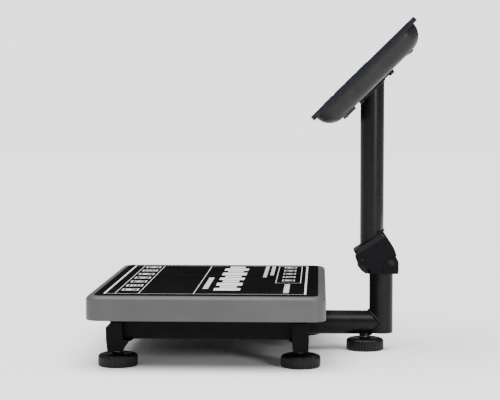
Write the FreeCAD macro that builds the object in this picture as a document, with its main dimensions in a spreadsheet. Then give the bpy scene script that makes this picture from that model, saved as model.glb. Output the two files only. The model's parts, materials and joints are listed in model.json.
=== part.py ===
import FreeCAD, Part
import math
import os

import Sketcher
from FreeCAD import Placement, Rotation, Vector

# A bench weighing scale with a folding mast. Millimetres, +Z up, +Y to the back, +X to the operator's right.
# The origin lies on the floor under the middle of the whole scale. An oblong platter sits on a black frame
# with four levelling feet; a round arm runs back to a post with a fifth foot, and a folding joint on that
# post carries the mast and the tilted indicator head.

SIZES = {
    # platter
    "platter_wide": 400.0,
    "platter_deep": 300.0,
    "platter_high": 30.9,
    "platter_wall": 1.5,
    "platter_corner": 20.0,
    "platter_edge": 6.0,
    "film_inset": 10.0,
    "film_thick": 0.3,
    "film_corner": 11.0,
    # levelling feet and their studs
    "foot_radius": 25.2,
    "foot_high": 17.5,
    "foot_floor": 4.0,
    "foot_flutes": 40.0,
    "flute_radius": 1.2,
    "hub_radius": 7.0,
    "hub_high": 1.0,
    "leg_gap": 1.7,
    "stud_radius": 5.0,
    "stud_long": 32.0,
    "screw_fit": 0.05,
    # frame
    "leg_side": 21.0,
    "leg_inset_side": 53.0,
    "leg_inset_front": 35.7,
    "leg_inset_rear": 31.9,
    "leg_drop": 14.8,
    "leg_outer_front": 14.2,
    "leg_inner_front": 7.0,
    "leg_taper_front": 1.9,
    "leg_taper_rear": 0.8,
    "leg_chamfer_front": 13.5,
    "leg_chamfer_rear": 7.5,
    "leg_bevel": 7.5,
    "gusset_front": 12.6,
    "gusset_rear": 4.2,
    "gusset_drop_front": 13.8,
    "gusset_drop_rear": 2.8,
    "rail_high": 29.5,
    "rail_wide": 16.0,
    "rail_wall": 2.0,
    "rail_setback": 12.0,
    "base_wide": 60.0,
    "base_thick": 6.0,
    "base_rise": 5.0,
    # load cell, the spider over it and the stops
    "cell_long": 150.0,
    "cell_wide": 30.0,
    "cell_high": 22.0,
    "cell_hole": 7.5,
    "cell_hole_pitch": 24.0,
    "spacer_long": 34.0,
    "spacer_thick": 3.0,
    "spider_thick": 6.0,
    "spider_bar": 22.0,
    "spider_reach_side": 165.0,
    "spider_reach_deep": 100.0,
    "spider_spine": 44.0,
    "boss_radius": 10.0,
    "pad_radius": 9.0,
    "pad_thick": 6.9,
    "stop_gap": 0.8,
    # arm and lower post
    "tube_radius": 16.0,
    "tube_wall": 2.0,
    "tube_fit": 0.05,
    "arm_high": 37.2,
    "arm_reach": 75.1,
    "arm_foot_gap": 0.5,
    "socket_wide": 52.0,
    "socket_deep": 21.5,
    "socket_wall": 2.0,
    "boss_bore_wall": 3.0,
    "post_lift": 2.3,
    # folding joint
    "post_top": 105.0,
    "pivot_back": 12.6,
    "pivot_rise": 14.2,
    "pivot_radius": 3.0,
    "pivot_fit": 0.05,
    "joint_wide": 44.0,
    "ear_wide": 8.0,
    "ear_radius": 10.0,
    "joint_gap": 0.3,
    "bracket_floor": 5.0,
    "bracket_ahead": 2.5,
    "spigot_long": 20.0,
    "cable_bore": 8.0,
    "flange_slope": 33.0,
    "flange_high": 151.8,
    "flange_thick": 6.8,
    "flange_front": 29.6,
    "flange_rear": 17.8,
    "lever_wide": 33.0,
    "lever_pin_radius": 2.0,
    "lever_pin_ahead": 10.1,
    "lever_pin_rise": 4.8,
    # mast and indicator head
    "mast_ahead": 12.9,
    "head_high": 354.4,
    "head_tilt": 44.5,
    "head_long": 183.5,
    "head_wide": 230.0,
    "head_below": 86.2,
    "head_thick": 30.0,
    "bezel_thick": 6.7,
    "bezel_corner": 14.0,
    "shell_inset": 5.0,
    "shell_wall": 2.5,
    "shell_corner": 24.0,
    "shell_round": 22.0,
    "plate_margin_long": 8.5,
    "plate_margin_side": 6.0,
    "plate_middle": 4.8,
    "plate_thick": 3.0,
    "window_wide": 176.0,
    "window_long": 38.0,
    "window_thick": 2.0,
    "keypad_wide": 200.0,
    "keypad_long": 96.0,
    "keypad_thick": 0.8,
    "face_margin": 14.0,
    "board_wide": 170.0,
    "board_long": 110.0,
    "board_thick": 1.6,
    "board_middle": 22.0,
    "board_level": 17.0,
    "switch_side": 66.0,
    "switch_rise": 40.1,
    "switch_long": 21.0,
    "switch_wide": 15.0,
}

doc = FreeCAD.newDocument("weighing_scale")
sheet = doc.addObject("Spreadsheet::Sheet", "Sizes")
for row, (word, amount) in enumerate(SIZES.items(), start=1):
    sheet.set(f"A{row}", word)
    sheet.set(f"B{row}", str(amount))
    sheet.setAlias(f"B{row}", word)
doc.recompute()


class Size:
    """A length or angle worked out from the sheet, held as its formula and its present value."""

    def __init__(self, formula, value):
        self.formula = formula
        self.value = float(value)

    def __add__(self, other):
        other = as_size(other)
        return Size(f"({self.formula} + {other.formula})", self.value + other.value)

    def __sub__(self, other):
        other = as_size(other)
        return Size(f"({self.formula} - {other.formula})", self.value - other.value)

    def __mul__(self, other):
        other = as_size(other)
        return Size(f"({self.formula} * {other.formula})", self.value * other.value)

    def __truediv__(self, other):
        other = as_size(other)
        return Size(f"({self.formula} / {other.formula})", self.value / other.value)

    def __neg__(self):
        return Size(f"(0 - {self.formula})", -self.value)

    def __radd__(self, other):
        return as_size(other) + self

    def __rsub__(self, other):
        return as_size(other) - self

    def __rmul__(self, other):
        return as_size(other) * self


def as_size(thing):
    """A Size as it is, or a plain number as a Size."""
    if isinstance(thing, Size):
        return thing
    return Size(f"({float(thing)!r})", thing)


def get(word):
    """The size that the sheet holds under this word."""
    return Size(f"Sizes.{word}", SIZES[word])


def sine(angle):
    return Size(f"sin({angle.formula})", math.sin(math.radians(angle.value)))


def cosine(angle):
    return Size(f"cos({angle.formula})", math.cos(math.radians(angle.value)))


def tangent(angle):
    return sine(angle) / cosine(angle)


class Circle:
    """A full circle in a sketch."""

    def __init__(self, across, up, radius):
        self.across, self.up, self.radius = as_size(across), as_size(up), as_size(radius)


class Rounded:
    """A rectangle in a sketch with its corners rounded to one radius."""

    def __init__(self, low_a, high_a, low_b, high_b, radius):
        self.radius = as_size(radius)
        low_a, high_a, low_b, high_b = (as_size(edge) for edge in (low_a, high_a, low_b, high_b))
        left, right, bottom, top = low_a + radius, high_a - radius, low_b + radius, high_b - radius
        self.runs = [((left, low_b), (right, low_b)), ((high_a, bottom), (high_a, top)),
                     ((right, high_b), (left, high_b)), ((low_a, top), (low_a, bottom))]
        self.centres = [(right, bottom), (right, top), (left, top), (left, bottom)]


def rectangle(low_a, high_a, low_b, high_b):
    """The four corners of a rectangle, in a sketch's two directions."""
    return [(low_a, low_b), (high_a, low_b), (high_a, high_b), (low_a, high_b)]


PLANES = {"XY": 1, "XZ": -1, "YZ": 1}  # which way each origin plane's normal points along its axis


class Piece:
    """One sub-part of the scale: a PartDesign body built up by adding and cutting outlines."""

    def __init__(self, label, place=None, slope=None):
        self.body = doc.addObject("PartDesign::Body", label)
        self.body.Label = label
        if slope is not None:
            self.body.Placement = Placement(Vector(), Rotation(Vector(1, 0, 0), slope.value))
            self.body.setExpression("Placement.Rotation.Angle", slope.formula)
        for letter, distance in zip("xyz", place or ()):
            self.body.setExpression(f"Placement.Base.{letter}", as_size(distance).formula)
        PIECES[label] = self.body

    def sketch(self, plane, loops, at):
        """A sketch on an origin plane, moved out to at, with every point tied to the sheet."""
        sketch = self.body.newObject("Sketcher::SketchObject", "Outline")
        support = [f for f in self.body.Origin.OriginFeatures if f.Role == plane + "_Plane"]
        sketch.AttachmentSupport = (support[0], [""])
        sketch.MapMode = "FlatFace"
        sketch.setExpression("AttachmentOffset.Base.z", (as_size(at) * PLANES[plane]).formula)
        for loop in loops:
            if isinstance(loop, Circle):
                self.draw_circle(sketch, loop)
            elif isinstance(loop, Rounded):
                self.draw_rounded(sketch, loop)
            else:
                self.draw_polygon(sketch, loop)
        return sketch

    def tie(self, sketch, geometry, point, across, up):
        for kind, place in (("DistanceX", across), ("DistanceY", up)):
            place = as_size(place)
            number = sketch.addConstraint(Sketcher.Constraint(kind, -1, 1, geometry, point, place.value))
            sketch.setExpression(f"Constraints[{number}]", place.formula)

    def draw_circle(self, sketch, circle):
        centre = Vector(circle.across.value, circle.up.value, 0)
        number = sketch.addGeometry(Part.Circle(centre, Vector(0, 0, 1), circle.radius.value))
        self.tie(sketch, number, 3, circle.across, circle.up)
        held = sketch.addConstraint(Sketcher.Constraint("Radius", number, circle.radius.value))
        sketch.setExpression(f"Constraints[{held}]", circle.radius.formula)

    def draw_rounded(self, sketch, loop):
        """Four straight runs tied to the sheet, each joined to the next by a quarter arc."""
        first = sketch.GeometryCount
        for run in loop.runs:
            start, end = (Vector(a.value, b.value, 0) for a, b in run)
            sketch.addGeometry(Part.LineSegment(start, end))
        for quarter, (across, up) in enumerate(loop.centres):
            circle = Part.Circle(Vector(across.value, up.value, 0), Vector(0, 0, 1), loop.radius.value)
            start = math.pi / 2 * (quarter - 1)
            arc = sketch.addGeometry(Part.ArcOfCircle(circle, start, start + math.pi / 2))
            run, following = first + quarter, first + (quarter + 1) % 4
            sketch.addConstraint(Sketcher.Constraint("Coincident", run, 2, arc, 1))
            sketch.addConstraint(Sketcher.Constraint("Coincident", arc, 2, following, 1))
            held = sketch.addConstraint(Sketcher.Constraint("Radius", arc, loop.radius.value))
            sketch.setExpression(f"Constraints[{held}]", loop.radius.formula)
        for number, run in enumerate(loop.runs):
            for end, (across, up) in enumerate(run, start=1):
                self.tie(sketch, first + number, end, across, up)

    def draw_polygon(self, sketch, points):
        corners = [Vector(as_size(a).value, as_size(b).value, 0) for a, b in points]
        first = sketch.GeometryCount
        for here, there in zip(corners, corners[1:] + corners[:1]):
            sketch.addGeometry(Part.LineSegment(here, there))
        for number in range(len(corners)):
            following = first + (number + 1) % len(corners)
            sketch.addConstraint(Sketcher.Constraint("Coincident", first + number, 2, following, 1))
        for number, (across, up) in enumerate(points):
            self.tie(sketch, first + number, 1, across, up)

    def add(self, plane, loops, at, length):
        """Pads the loops from at towards the plane's positive axis."""
        sketch = self.sketch(plane, loops, at)
        pad = self.body.newObject("PartDesign::Pad", "Pad")
        pad.Profile = sketch
        pad.setExpression("Length", as_size(length).formula)
        pad.Reversed = PLANES[plane] < 0
        return pad

    def add_middle(self, plane, loops, width):
        """Pads the loops equally to both sides of the plane."""
        pad = self.add(plane, loops, 0, width)
        pad.Midplane = True
        return pad

    def cut(self, plane, loops, at, length):
        """Pockets the loops from at towards the plane's positive axis."""
        sketch = self.sketch(plane, loops, at)
        pocket = self.body.newObject("PartDesign::Pocket", "Pocket")
        pocket.Profile = sketch
        pocket.setExpression("Length", as_size(length).formula)
        pocket.Reversed = PLANES[plane] > 0
        return pocket

    def cut_middle(self, plane, loops, width):
        """Pockets the loops equally to both sides of the plane."""
        pocket = self.cut(plane, loops, 0, width)
        pocket.Midplane = True
        return pocket

    def turn(self, points):
        """Revolves an outline of (radius, height) points about the piece's own upright axis."""
        sketch = self.sketch("XZ", [points], 0)
        turned = self.body.newObject("PartDesign::Revolution", "Revolution")
        turned.Profile = sketch
        turned.ReferenceAxis = (sketch, ["V_Axis"])
        turned.Angle = 360.0
        return turned

    def dress(self, kind, prop, amount, wanted):
        """Fillets or chamfers every edge of the piece so far that the test picks."""
        doc.recompute()
        tip = self.body.Tip
        names = [f"Edge{n}" for n, edge in enumerate(tip.Shape.Edges, start=1) if wanted(edge)]
        feature = self.body.newObject(f"PartDesign::{kind}", kind)
        feature.Base = (tip, names)
        feature.setExpression(prop, as_size(amount).formula)
        return feature

    def fillet(self, radius, wanted):
        return self.dress("Fillet", "Radius", radius, wanted)

    def chamfer(self, size, wanted):
        return self.dress("Chamfer", "Size", size, wanted)


PIECES = {}
SMALL = 1e-4


def along(axis):
    """A test for straight edges that run along one axis, X, Y or Z."""
    others = [letter for letter in "XYZ" if letter != axis]

    def test(edge):
        box = edge.BoundBox
        return all(getattr(box, letter + "Length") < SMALL for letter in others)

    return test


def at_height(height):
    """A test for edges that lie in one level plane of the piece."""

    def test(edge):
        box = edge.BoundBox
        return abs(box.ZMin - height.value) < SMALL and abs(box.ZMax - height.value) < SMALL

    return test


# ---------------------------------------------------------------- levels and places from the sizes

half = get("platter_wide") / 2
mast_back = get("platter_deep") / 2 + get("arm_reach") - get("mast_ahead")
head_above = get("head_long") - get("head_below")
shell_high = get("head_thick") - get("bezel_thick")
shell_end = head_above - get("shell_inset")
shell_lean = cosine(get("head_tilt")) * (shell_end - get("shell_round"))
reach = mast_back + shell_lean + get("shell_round") * (1 - sine(get("head_tilt")))
platter_y = (get("platter_deep") / 2 - reach) / 2
front = platter_y - get("platter_deep") / 2
rear = platter_y + get("platter_deep") / 2
post_y = rear + get("arm_reach")
mast_y = post_y - get("mast_ahead")
pivot_y = post_y + get("pivot_back")
pivot_z = get("post_top") + get("pivot_rise")

leg_x = half - get("leg_inset_side")
leg_half = get("leg_side") / 2
leg_y = {"front": front + get("leg_inset_front"), "rear": rear - get("leg_inset_rear")}
front_leg_middle = leg_y["front"] + (get("leg_inner_front") - get("leg_outer_front")) / 2
beam_y = {"front": front_leg_middle, "rear": leg_y["rear"]}
leg_bottom = get("foot_high") + get("leg_gap")
rail_bottom = leg_bottom + get("leg_drop")
frame_top = rail_bottom + get("rail_high")
post_low = get("arm_high") - get("tube_radius") + get("post_lift")
platter_top = frame_top + get("platter_high")
cover_inside = platter_top - get("platter_wall")

FEET = {
    "front_left": (-leg_x, leg_y["front"]),
    "front_right": (leg_x, leg_y["front"]),
    "rear_left": (-leg_x, leg_y["rear"]),
    "rear_right": (leg_x, leg_y["rear"]),
    "arm": (as_size(0), post_y - get("tube_radius") - get("stud_radius") - get("arm_foot_gap")),
}


# ---------------------------------------------------------------- platter


def platter_cover():
    """A deep-drawn steel cover, open below, with its outer edges rounded over."""
    wall, corner, edge = get("platter_wall"), get("platter_corner"), get("platter_edge")
    cover = Piece("platter_cover")
    cover.add("XY", [Rounded(-half, half, front, rear, corner)], frame_top, get("platter_high"))
    inside = Rounded(wall - half, half - wall, front + wall, rear - wall, corner - wall)
    cover.cut("XY", [inside], frame_top, get("platter_high") - wall)
    cover.fillet(edge - wall, at_height(cover_inside))
    cover.fillet(edge, at_height(platter_top))


def platter_film():
    """The dark printed film bonded to the top of the cover."""
    inset = get("film_inset")
    film = Piece("platter_film")
    outline = rectangle(inset - half, half - inset, front + inset, rear - inset)
    film.add("XY", [outline], platter_top, get("film_thick"))
    film.fillet(get("film_corner"), along("Z"))


# ---------------------------------------------------------------- levelling feet


def foot_knob(corner, across, depth):
    """A moulded knob, bored for its stud, with a fluted rim for the fingers."""
    radius, tall, hub = get("foot_radius"), get("foot_high"), get("hub_high")
    bore = get("stud_radius") + get("screw_fit")
    shoulder = tall - hub
    knob = Piece(f"foot_knob_{corner}", (across, depth, 0))
    outline = [
        (0, 0),
        (radius - 2.5, 0),
        (radius, 2.2),
        (radius, shoulder - 4),
        (radius - 2.6, shoulder - 1.2),
        (radius - 7.5, shoulder),
        (get("hub_radius"), shoulder),
        (get("hub_radius"), tall),
        (bore, tall),
        (bore, get("foot_floor")),
        (0, get("foot_floor")),
    ]
    knob.turn(outline)
    groove = Circle(radius + get("flute_radius") * 0.45, 0, get("flute_radius"))
    flute = knob.cut("XY", [groove], -1, tall)
    pattern = knob.body.newObject("PartDesign::PolarPattern", "Flutes")
    pattern.Originals = [flute]
    pattern.Axis = (flute.Profile[0], ["N_Axis"])
    pattern.Angle = 360.0
    pattern.setExpression("Occurrences", get("foot_flutes").formula)
    knob.body.Tip = pattern


def foot_stud(corner, across, depth):
    """The threaded stud that stands in the knob and screws up into the leg."""
    stud = Piece(f"foot_stud_{corner}", (across, depth, 0))
    bottom, top = get("foot_floor"), get("foot_floor") + get("stud_long")
    stud.turn([(0, bottom), (get("stud_radius"), bottom), (get("stud_radius"), top - 1.5),
               (get("stud_radius") - 1.2, top), (0, top)])


# ---------------------------------------------------------------- frame

leg_inner = {"front": get("leg_inner_front"), "rear": leg_half}
GUSSET_KNEE, KNEE_DROP = 0.62, 0.15  # where the gusset's edge bends, along it and down it
BOLT_HOLE = 3.05  # clears an M6 shank
SOCKET_BOLT_GRIP = 7.0
socket_top = get("arm_high") + get("tube_radius") + get("tube_fit") + get("socket_wall")
socket_rear = leg_y["rear"] + leg_half - 1
socket_front = socket_rear - get("socket_deep")
base_low = rail_bottom + get("base_rise")
base_top = base_low + get("base_thick")
cell_low = base_top + get("spacer_thick")
cell_top = cell_low + get("cell_high")
spider_low = cell_top + get("spacer_thick")
spider_top = spider_low + get("spider_thick")
pad_low = cover_inside - get("pad_thick")
cell_half = get("cell_long") / 2


def leg(corner, side, depth, facing):
    """A corner leg of the frame: drawn in below the rail, gusseted to it and bored for its stud."""
    end = "front" if facing < 0 else "rear"
    gusset, drop, taper = get(f"gusset_{end}"), get(f"gusset_drop_{end}"), get(f"leg_taper_{end}")
    chamfer = get(f"leg_chamfer_{end}")
    outer = depth + (get("leg_outer_front") if facing < 0 else leg_half) * facing
    inner = depth - leg_inner[end] * facing
    foot_inner = inner if facing < 0 else inner + taper * facing
    piece = Piece(f"leg_{corner}")
    outline = [
        (outer - taper * facing, leg_bottom),
        (outer, rail_bottom),
        (outer, frame_top - chamfer),
        (outer - chamfer * facing, frame_top),
        (inner, frame_top),
        (inner, rail_bottom),
        (inner - gusset * facing, rail_bottom),
        (inner - gusset * GUSSET_KNEE * facing, rail_bottom - drop * KNEE_DROP),
        (inner, rail_bottom - drop),
        (foot_inner, leg_bottom),
    ]
    centre = leg_x * side
    piece.add("YZ", [outline], centre - leg_half, get("leg_side"))
    bevel = get("leg_bevel")
    edge_x = centre + leg_half * side
    corner_cut = [(edge_x, frame_top - bevel), (edge_x + side, frame_top - bevel),
                  (edge_x + side, frame_top + 1), (edge_x - bevel * side, frame_top + 1),
                  (edge_x - bevel * side, frame_top)]
    piece.cut("XZ", [corner_cut], depth - get("leg_side"), get("leg_side") * 2)
    bore = Circle(centre, depth, get("stud_radius") + get("screw_fit"))
    piece.cut("XY", [bore], leg_bottom - 1, get("stud_long"))


def side_rail(label, side):
    """A box-section rail between the two legs of one side, with a hole for each overload stop."""
    outside = (leg_x + leg_half - get("rail_setback")) * side
    inside = outside - get("rail_wide") * side
    wall = get("rail_wall")
    low, high = (inside, outside) if side > 0 else (outside, inside)
    start, end = leg_y["front"] + leg_inner["front"], leg_y["rear"] - leg_inner["rear"]
    rail = Piece(label)
    rail.add("XZ", [rectangle(low, high, rail_bottom, frame_top)], start, end - start)
    hollow = rectangle(low + wall, high - wall, rail_bottom + wall, frame_top - wall)
    rail.cut("XZ", [hollow], start - 1, end - start + 2)
    stops = [Circle(across, depth, BOLT_HOLE) for across, depth in stop_spots() if across.value * side > 0]
    rail.cut("XY", stops, frame_top - wall - 1, wall + 2)


def cross_beam(label, depth, notch):
    """A box-section beam across the frame; the rear one is notched over the arm's socket."""
    width, wall = get("rail_wide"), get("rail_wall")
    span = leg_x - leg_half
    low, high = depth - width / 2, depth + width / 2
    beam = Piece(label)
    beam.add("YZ", [rectangle(low, high, rail_bottom, frame_top)], -span, span * 2)
    hollow = rectangle(low + wall, high - wall, rail_bottom + wall, frame_top - wall)
    beam.cut("YZ", [hollow], -1 - span, span * 2 + 2)
    if notch:
        room = get("socket_wide") / 2
        beam.cut("XZ", [rectangle(-room, room, rail_bottom - 1, socket_top)], low - 1, width + 2)
        bolts = [Circle(across, depth, BOLT_HOLE) for across in socket_bolt_spots()]
        beam.cut("XY", bolts, frame_top - wall - 1, wall + 2)


def socket_bolt_spots():
    offset = get("socket_wide") / 2 - 6
    return (-offset, offset)


def stop_spots():
    """Where the four overload stops stand on the rails, under the ends of the spider."""
    across = leg_x + leg_half - get("rail_setback") - get("rail_wide") / 2
    return [(across * side, platter_y + get("spider_reach_deep") * end * 0.97)
            for side in (-1, 1) for end in (-1, 1)]


def arm_socket():
    """The block in the middle of the rear beam that the arm is pressed into."""
    room = get("socket_wide") / 2
    block = Piece("arm_socket")
    block.add("XZ", [rectangle(-room, room, leg_bottom, socket_top)], socket_front, get("socket_deep"))
    block.chamfer(3, lambda edge: along("Y")(edge) and edge.BoundBox.ZMax < leg_bottom.value + SMALL)
    bore = Circle(0, get("arm_high"), get("tube_radius") + get("tube_fit"))
    block.cut("XZ", [bore], socket_front - 1, get("socket_deep") + 2)
    bolts = [Circle(across, leg_y["rear"], BOLT_HOLE) for across in socket_bolt_spots()]
    block.cut("XY", bolts, socket_top - SOCKET_BOLT_GRIP * 2, SOCKET_BOLT_GRIP * 2 + 1)


def base_plate():
    """The plate down the middle of the frame that holds the load cell."""
    start, end = beam_y["front"] + get("rail_wide") / 2, socket_front
    plate = Piece("base_plate")
    wide = get("base_wide") / 2
    plate.add("XY", [rectangle(-wide, wide, start, end)], base_low, get("base_thick"))
    bolts = [Circle(0, y, BOLT_HOLE) for y in cell_bolts("rear")]
    plate.cut("XY", bolts, base_low - 1, get("base_thick") + 2)


def cell_bolts(end):
    """Where the two bolts at one end of the load cell stand, front or rear."""
    middle = cell_half - get("spacer_long") / 2
    sign = 1 if end == "rear" else -1
    return [platter_y + middle * sign + offset for offset in (-9, 9)]


# ---------------------------------------------------------------- load cell and spider


def load_cell():
    """A single-point aluminium cell: two joined bores leave the thin webs that bend under load."""
    cell = Piece("load_cell")
    wide = get("cell_wide") / 2
    cell.add("XY", [rectangle(-wide, wide, platter_y - cell_half, platter_y + cell_half)], cell_low,
             get("cell_high"))
    middle = (cell_low + cell_top) / 2
    pitch = get("cell_hole_pitch") / 2
    holes = [Circle(platter_y + pitch * sign, middle, get("cell_hole")) for sign in (-1, 1)]
    cell.cut("YZ", holes, -1 - wide, wide * 2 + 2)
    slot = rectangle(platter_y - pitch, platter_y + pitch, middle - 3, middle + 3)
    cell.cut("YZ", [slot], -1 - wide, wide * 2 + 2)
    depth = get("cell_high") / 2
    cell.cut("XY", [Circle(0, y, BOLT_HOLE) for y in cell_bolts("rear")], cell_low - 1, depth)
    cell.cut("XY", [Circle(0, y, BOLT_HOLE) for y in cell_bolts("front")], cell_top - depth + 1, depth)


def cell_spacer(label, end, low):
    """A steel spacer that holds one end of the cell clear of its neighbour."""
    wide = get("cell_wide") / 2
    near = platter_y + cell_half - get("spacer_long") if end == "rear" else platter_y - cell_half
    spacer = Piece(label)
    spacer.add("XY", [rectangle(-wide, wide, near, near + get("spacer_long"))], low, get("spacer_thick"))
    spacer.cut("XY", [Circle(0, y, BOLT_HOLE) for y in cell_bolts(end)], low - 1, get("spacer_thick") + 2)


def load_spider():
    """The H-shaped casting that carries the cover at its four ends."""
    arm, bar = get("spider_reach_side"), get("spider_bar") / 2
    deep, spine = get("spider_reach_deep"), get("spider_spine") / 2
    spider = Piece("load_spider")
    outline = [
        (-arm, platter_y - deep - bar),
        (arm, platter_y - deep - bar),
        (arm, platter_y - deep + bar),
        (spine, platter_y - deep + bar),
        (spine, platter_y + deep - bar),
        (arm, platter_y + deep - bar),
        (arm, platter_y + deep + bar),
        (-arm, platter_y + deep + bar),
        (-arm, platter_y + deep - bar),
        (-spine, platter_y + deep - bar),
        (-spine, platter_y - deep + bar),
        (-arm, platter_y - deep + bar),
    ]
    spider.add("XY", [outline], spider_low, get("spider_thick"))
    bosses = [Circle(across, depth, get("boss_radius")) for across, depth in pad_spots()]
    spider.add("XY", bosses, spider_top, pad_low - spider_top)
    spider.cut("XY", [Circle(0, y, BOLT_HOLE) for y in cell_bolts("front")], spider_low - 1,
               get("spider_thick") + 2)


def pad_spots():
    across = get("spider_reach_side") - get("spider_bar") / 2 - 2
    return [(across * side, platter_y + get("spider_reach_deep") * end)
            for side in (-1, 1) for end in (-1, 1)]


# ---------------------------------------------------------------- fasteners and other repeated small parts


def cylinder(label, radius, tall, place, axis=(0, 0, 1)):
    """A Part cylinder that starts at place and runs along axis."""
    made = doc.addObject("Part::Cylinder", label)
    made.setExpression("Radius", as_size(radius).formula)
    made.setExpression("Height", as_size(tall).formula)
    made.Placement = Placement(Vector(), Rotation(Vector(0, 0, 1), Vector(*axis)))
    for letter, distance in zip("xyz", place):
        made.setExpression(f"Placement.Base.{letter}", as_size(distance).formula)
    return made


def moved(place, axis, distance):
    """The point a distance along an axis from place."""
    return [as_size(p) + as_size(distance) * a for p, a in zip(place, axis)]


def cap_screw(number, place, axis, shank, length, head, head_tall):
    """A socket-head screw: its head stands on place and its shank runs the other way."""
    back = tuple(-a for a in axis)
    top = cylinder("Head", head, head_tall, place, axis)
    stem = cylinder("Shank", shank, length, place, back)
    whole = doc.addObject("Part::MultiFuse", f"Screw{number}")
    whole.Shapes = [top, stem]
    hexagon = doc.addObject("Part::Prism", "Socket")
    hexagon.Polygon = 6
    hexagon.setExpression("Circumradius", (as_size(head) * 0.5).formula)
    hexagon.setExpression("Height", as_size(head_tall).formula)
    hexagon.Placement = Placement(Vector(), Rotation(Vector(0, 0, 1), Vector(*axis)))
    for letter, distance in zip("xyz", moved(place, axis, as_size(head_tall) * 0.4)):
        hexagon.setExpression(f"Placement.Base.{letter}", distance.formula)
    screw = doc.addObject("Part::Cut", f"Socketed{number}")
    screw.Base, screw.Tool = whole, hexagon
    return screw


def group(label, members):
    """Several like solids kept as one sub-part."""
    together = doc.addObject("Part::Compound", label)
    together.Label = label
    together.Links = members
    PIECES[label] = together


UP, DOWN = (0, 0, 1), (0, 0, -1)


def small_parts():
    """Screws, pads and stops that come in sets."""
    lower = [cap_screw(n, (0, y, base_low), DOWN, 3, get("base_thick") + get("spacer_thick") + 9, 5, 5)
             for n, y in enumerate(cell_bolts("rear"))]
    upper = [cap_screw(n, (0, y, spider_top), UP, 3, get("spider_thick") + get("spacer_thick") + 9, 5, 5)
             for n, y in enumerate(cell_bolts("front"))]
    group("cell_bolts", lower + upper)
    pads = [cylinder("Pad", get("pad_radius"), get("pad_thick"), (x, y, pad_low)) for x, y in pad_spots()]
    group("spider_pads", pads)
    tall = spider_low - get("stop_gap") - frame_top
    stops = [cap_screw(n, (x, y, frame_top), UP, 3, 12, 5, tall) for n, (x, y) in enumerate(stop_spots())]
    group("overload_stops", stops)
    grip = frame_top - socket_top + SOCKET_BOLT_GRIP
    bolts = [cap_screw(n, (x, leg_y["rear"], frame_top), UP, 3, grip, 5, 5)
             for n, x in enumerate(socket_bolt_spots())]
    group("socket_bolts", bolts)


def bubble_level():
    """A round level on the base plate, seen when the platter is off: a cup and its domed glass."""
    spot = (get("base_wide") / 2 - 14, platter_y - cell_half - 13, base_top)
    cup = Piece("level_cup", spot)
    cup.turn([(0, 0), (11, 0), (11, 8), (9, 8), (9, 2), (0, 2)])
    glass = Piece("level_glass", spot)
    glass.turn([(0, 2), (8.9, 2), (8.9, 8), (6, 9), (0, 9.4)])


# ---------------------------------------------------------------- arm and lower post


def ring(across, up):
    """The two circles of the tube's section."""
    radius = get("tube_radius")
    return [Circle(across, up, radius), Circle(across, up, radius - get("tube_wall"))]


boss_outer = get("stud_radius") + get("screw_fit") + get("boss_bore_wall")


def arm_tube():
    """The level tube from the socket to the post, coped round the post and bored for the foot's boss."""
    start = socket_front + 2
    arm = Piece("arm_tube")
    arm.add("XZ", ring(0, get("arm_high")), start, post_y - start)
    arm.cut("XY", [Circle(0, post_y, get("tube_radius"))], 0, get("arm_high") * 2)
    hole = Circle(0, FEET["arm"][1], boss_outer + get("tube_fit"))
    arm.cut("XY", [hole], 0, get("arm_high"))


def arm_boss():
    """The threaded boss welded through the underside of the arm for the fifth foot."""
    boss = Piece("arm_boss")
    where = FEET["arm"][1]
    boss.add("XY", [Circle(0, where, boss_outer)], leg_bottom, get("arm_high") - leg_bottom - 3)
    bore = Circle(0, where, get("stud_radius") + get("screw_fit"))
    boss.cut("XY", [bore], leg_bottom - 1, get("arm_high"))
    boss.cut("XY", [Circle(0, post_y, get("tube_radius"))], 0, get("arm_high"))


def lower_post():
    """The upright tube at the back, from just above the underside of the arm to the joint."""
    post = Piece("lower_post")
    post.add("XY", ring(0, post_y), post_low, get("post_top") - post_low)


def post_plug():
    """The moulded plug in the bottom of the post."""
    plug = Piece("post_plug")
    plug.add("XY", [Circle(0, post_y, get("tube_radius") - get("tube_wall") - get("tube_fit"))], post_low, 6)
    plug.chamfer(1, at_height(post_low))


# ---------------------------------------------------------------- folding joint

joint_half = get("joint_wide") / 2
ear_inside = joint_half - get("ear_wide")
bracket_top = get("post_top") + get("bracket_floor")
bracket_nose = post_y - get("tube_radius") - get("bracket_ahead")
pivot_bore = get("pivot_radius") + get("pivot_fit")
slope = get("flange_slope")
PIVOT_HEAD = 4.6
PIVOT_HEAD_TALL = 3.0
NUT_RADIUS = 5.2


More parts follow.
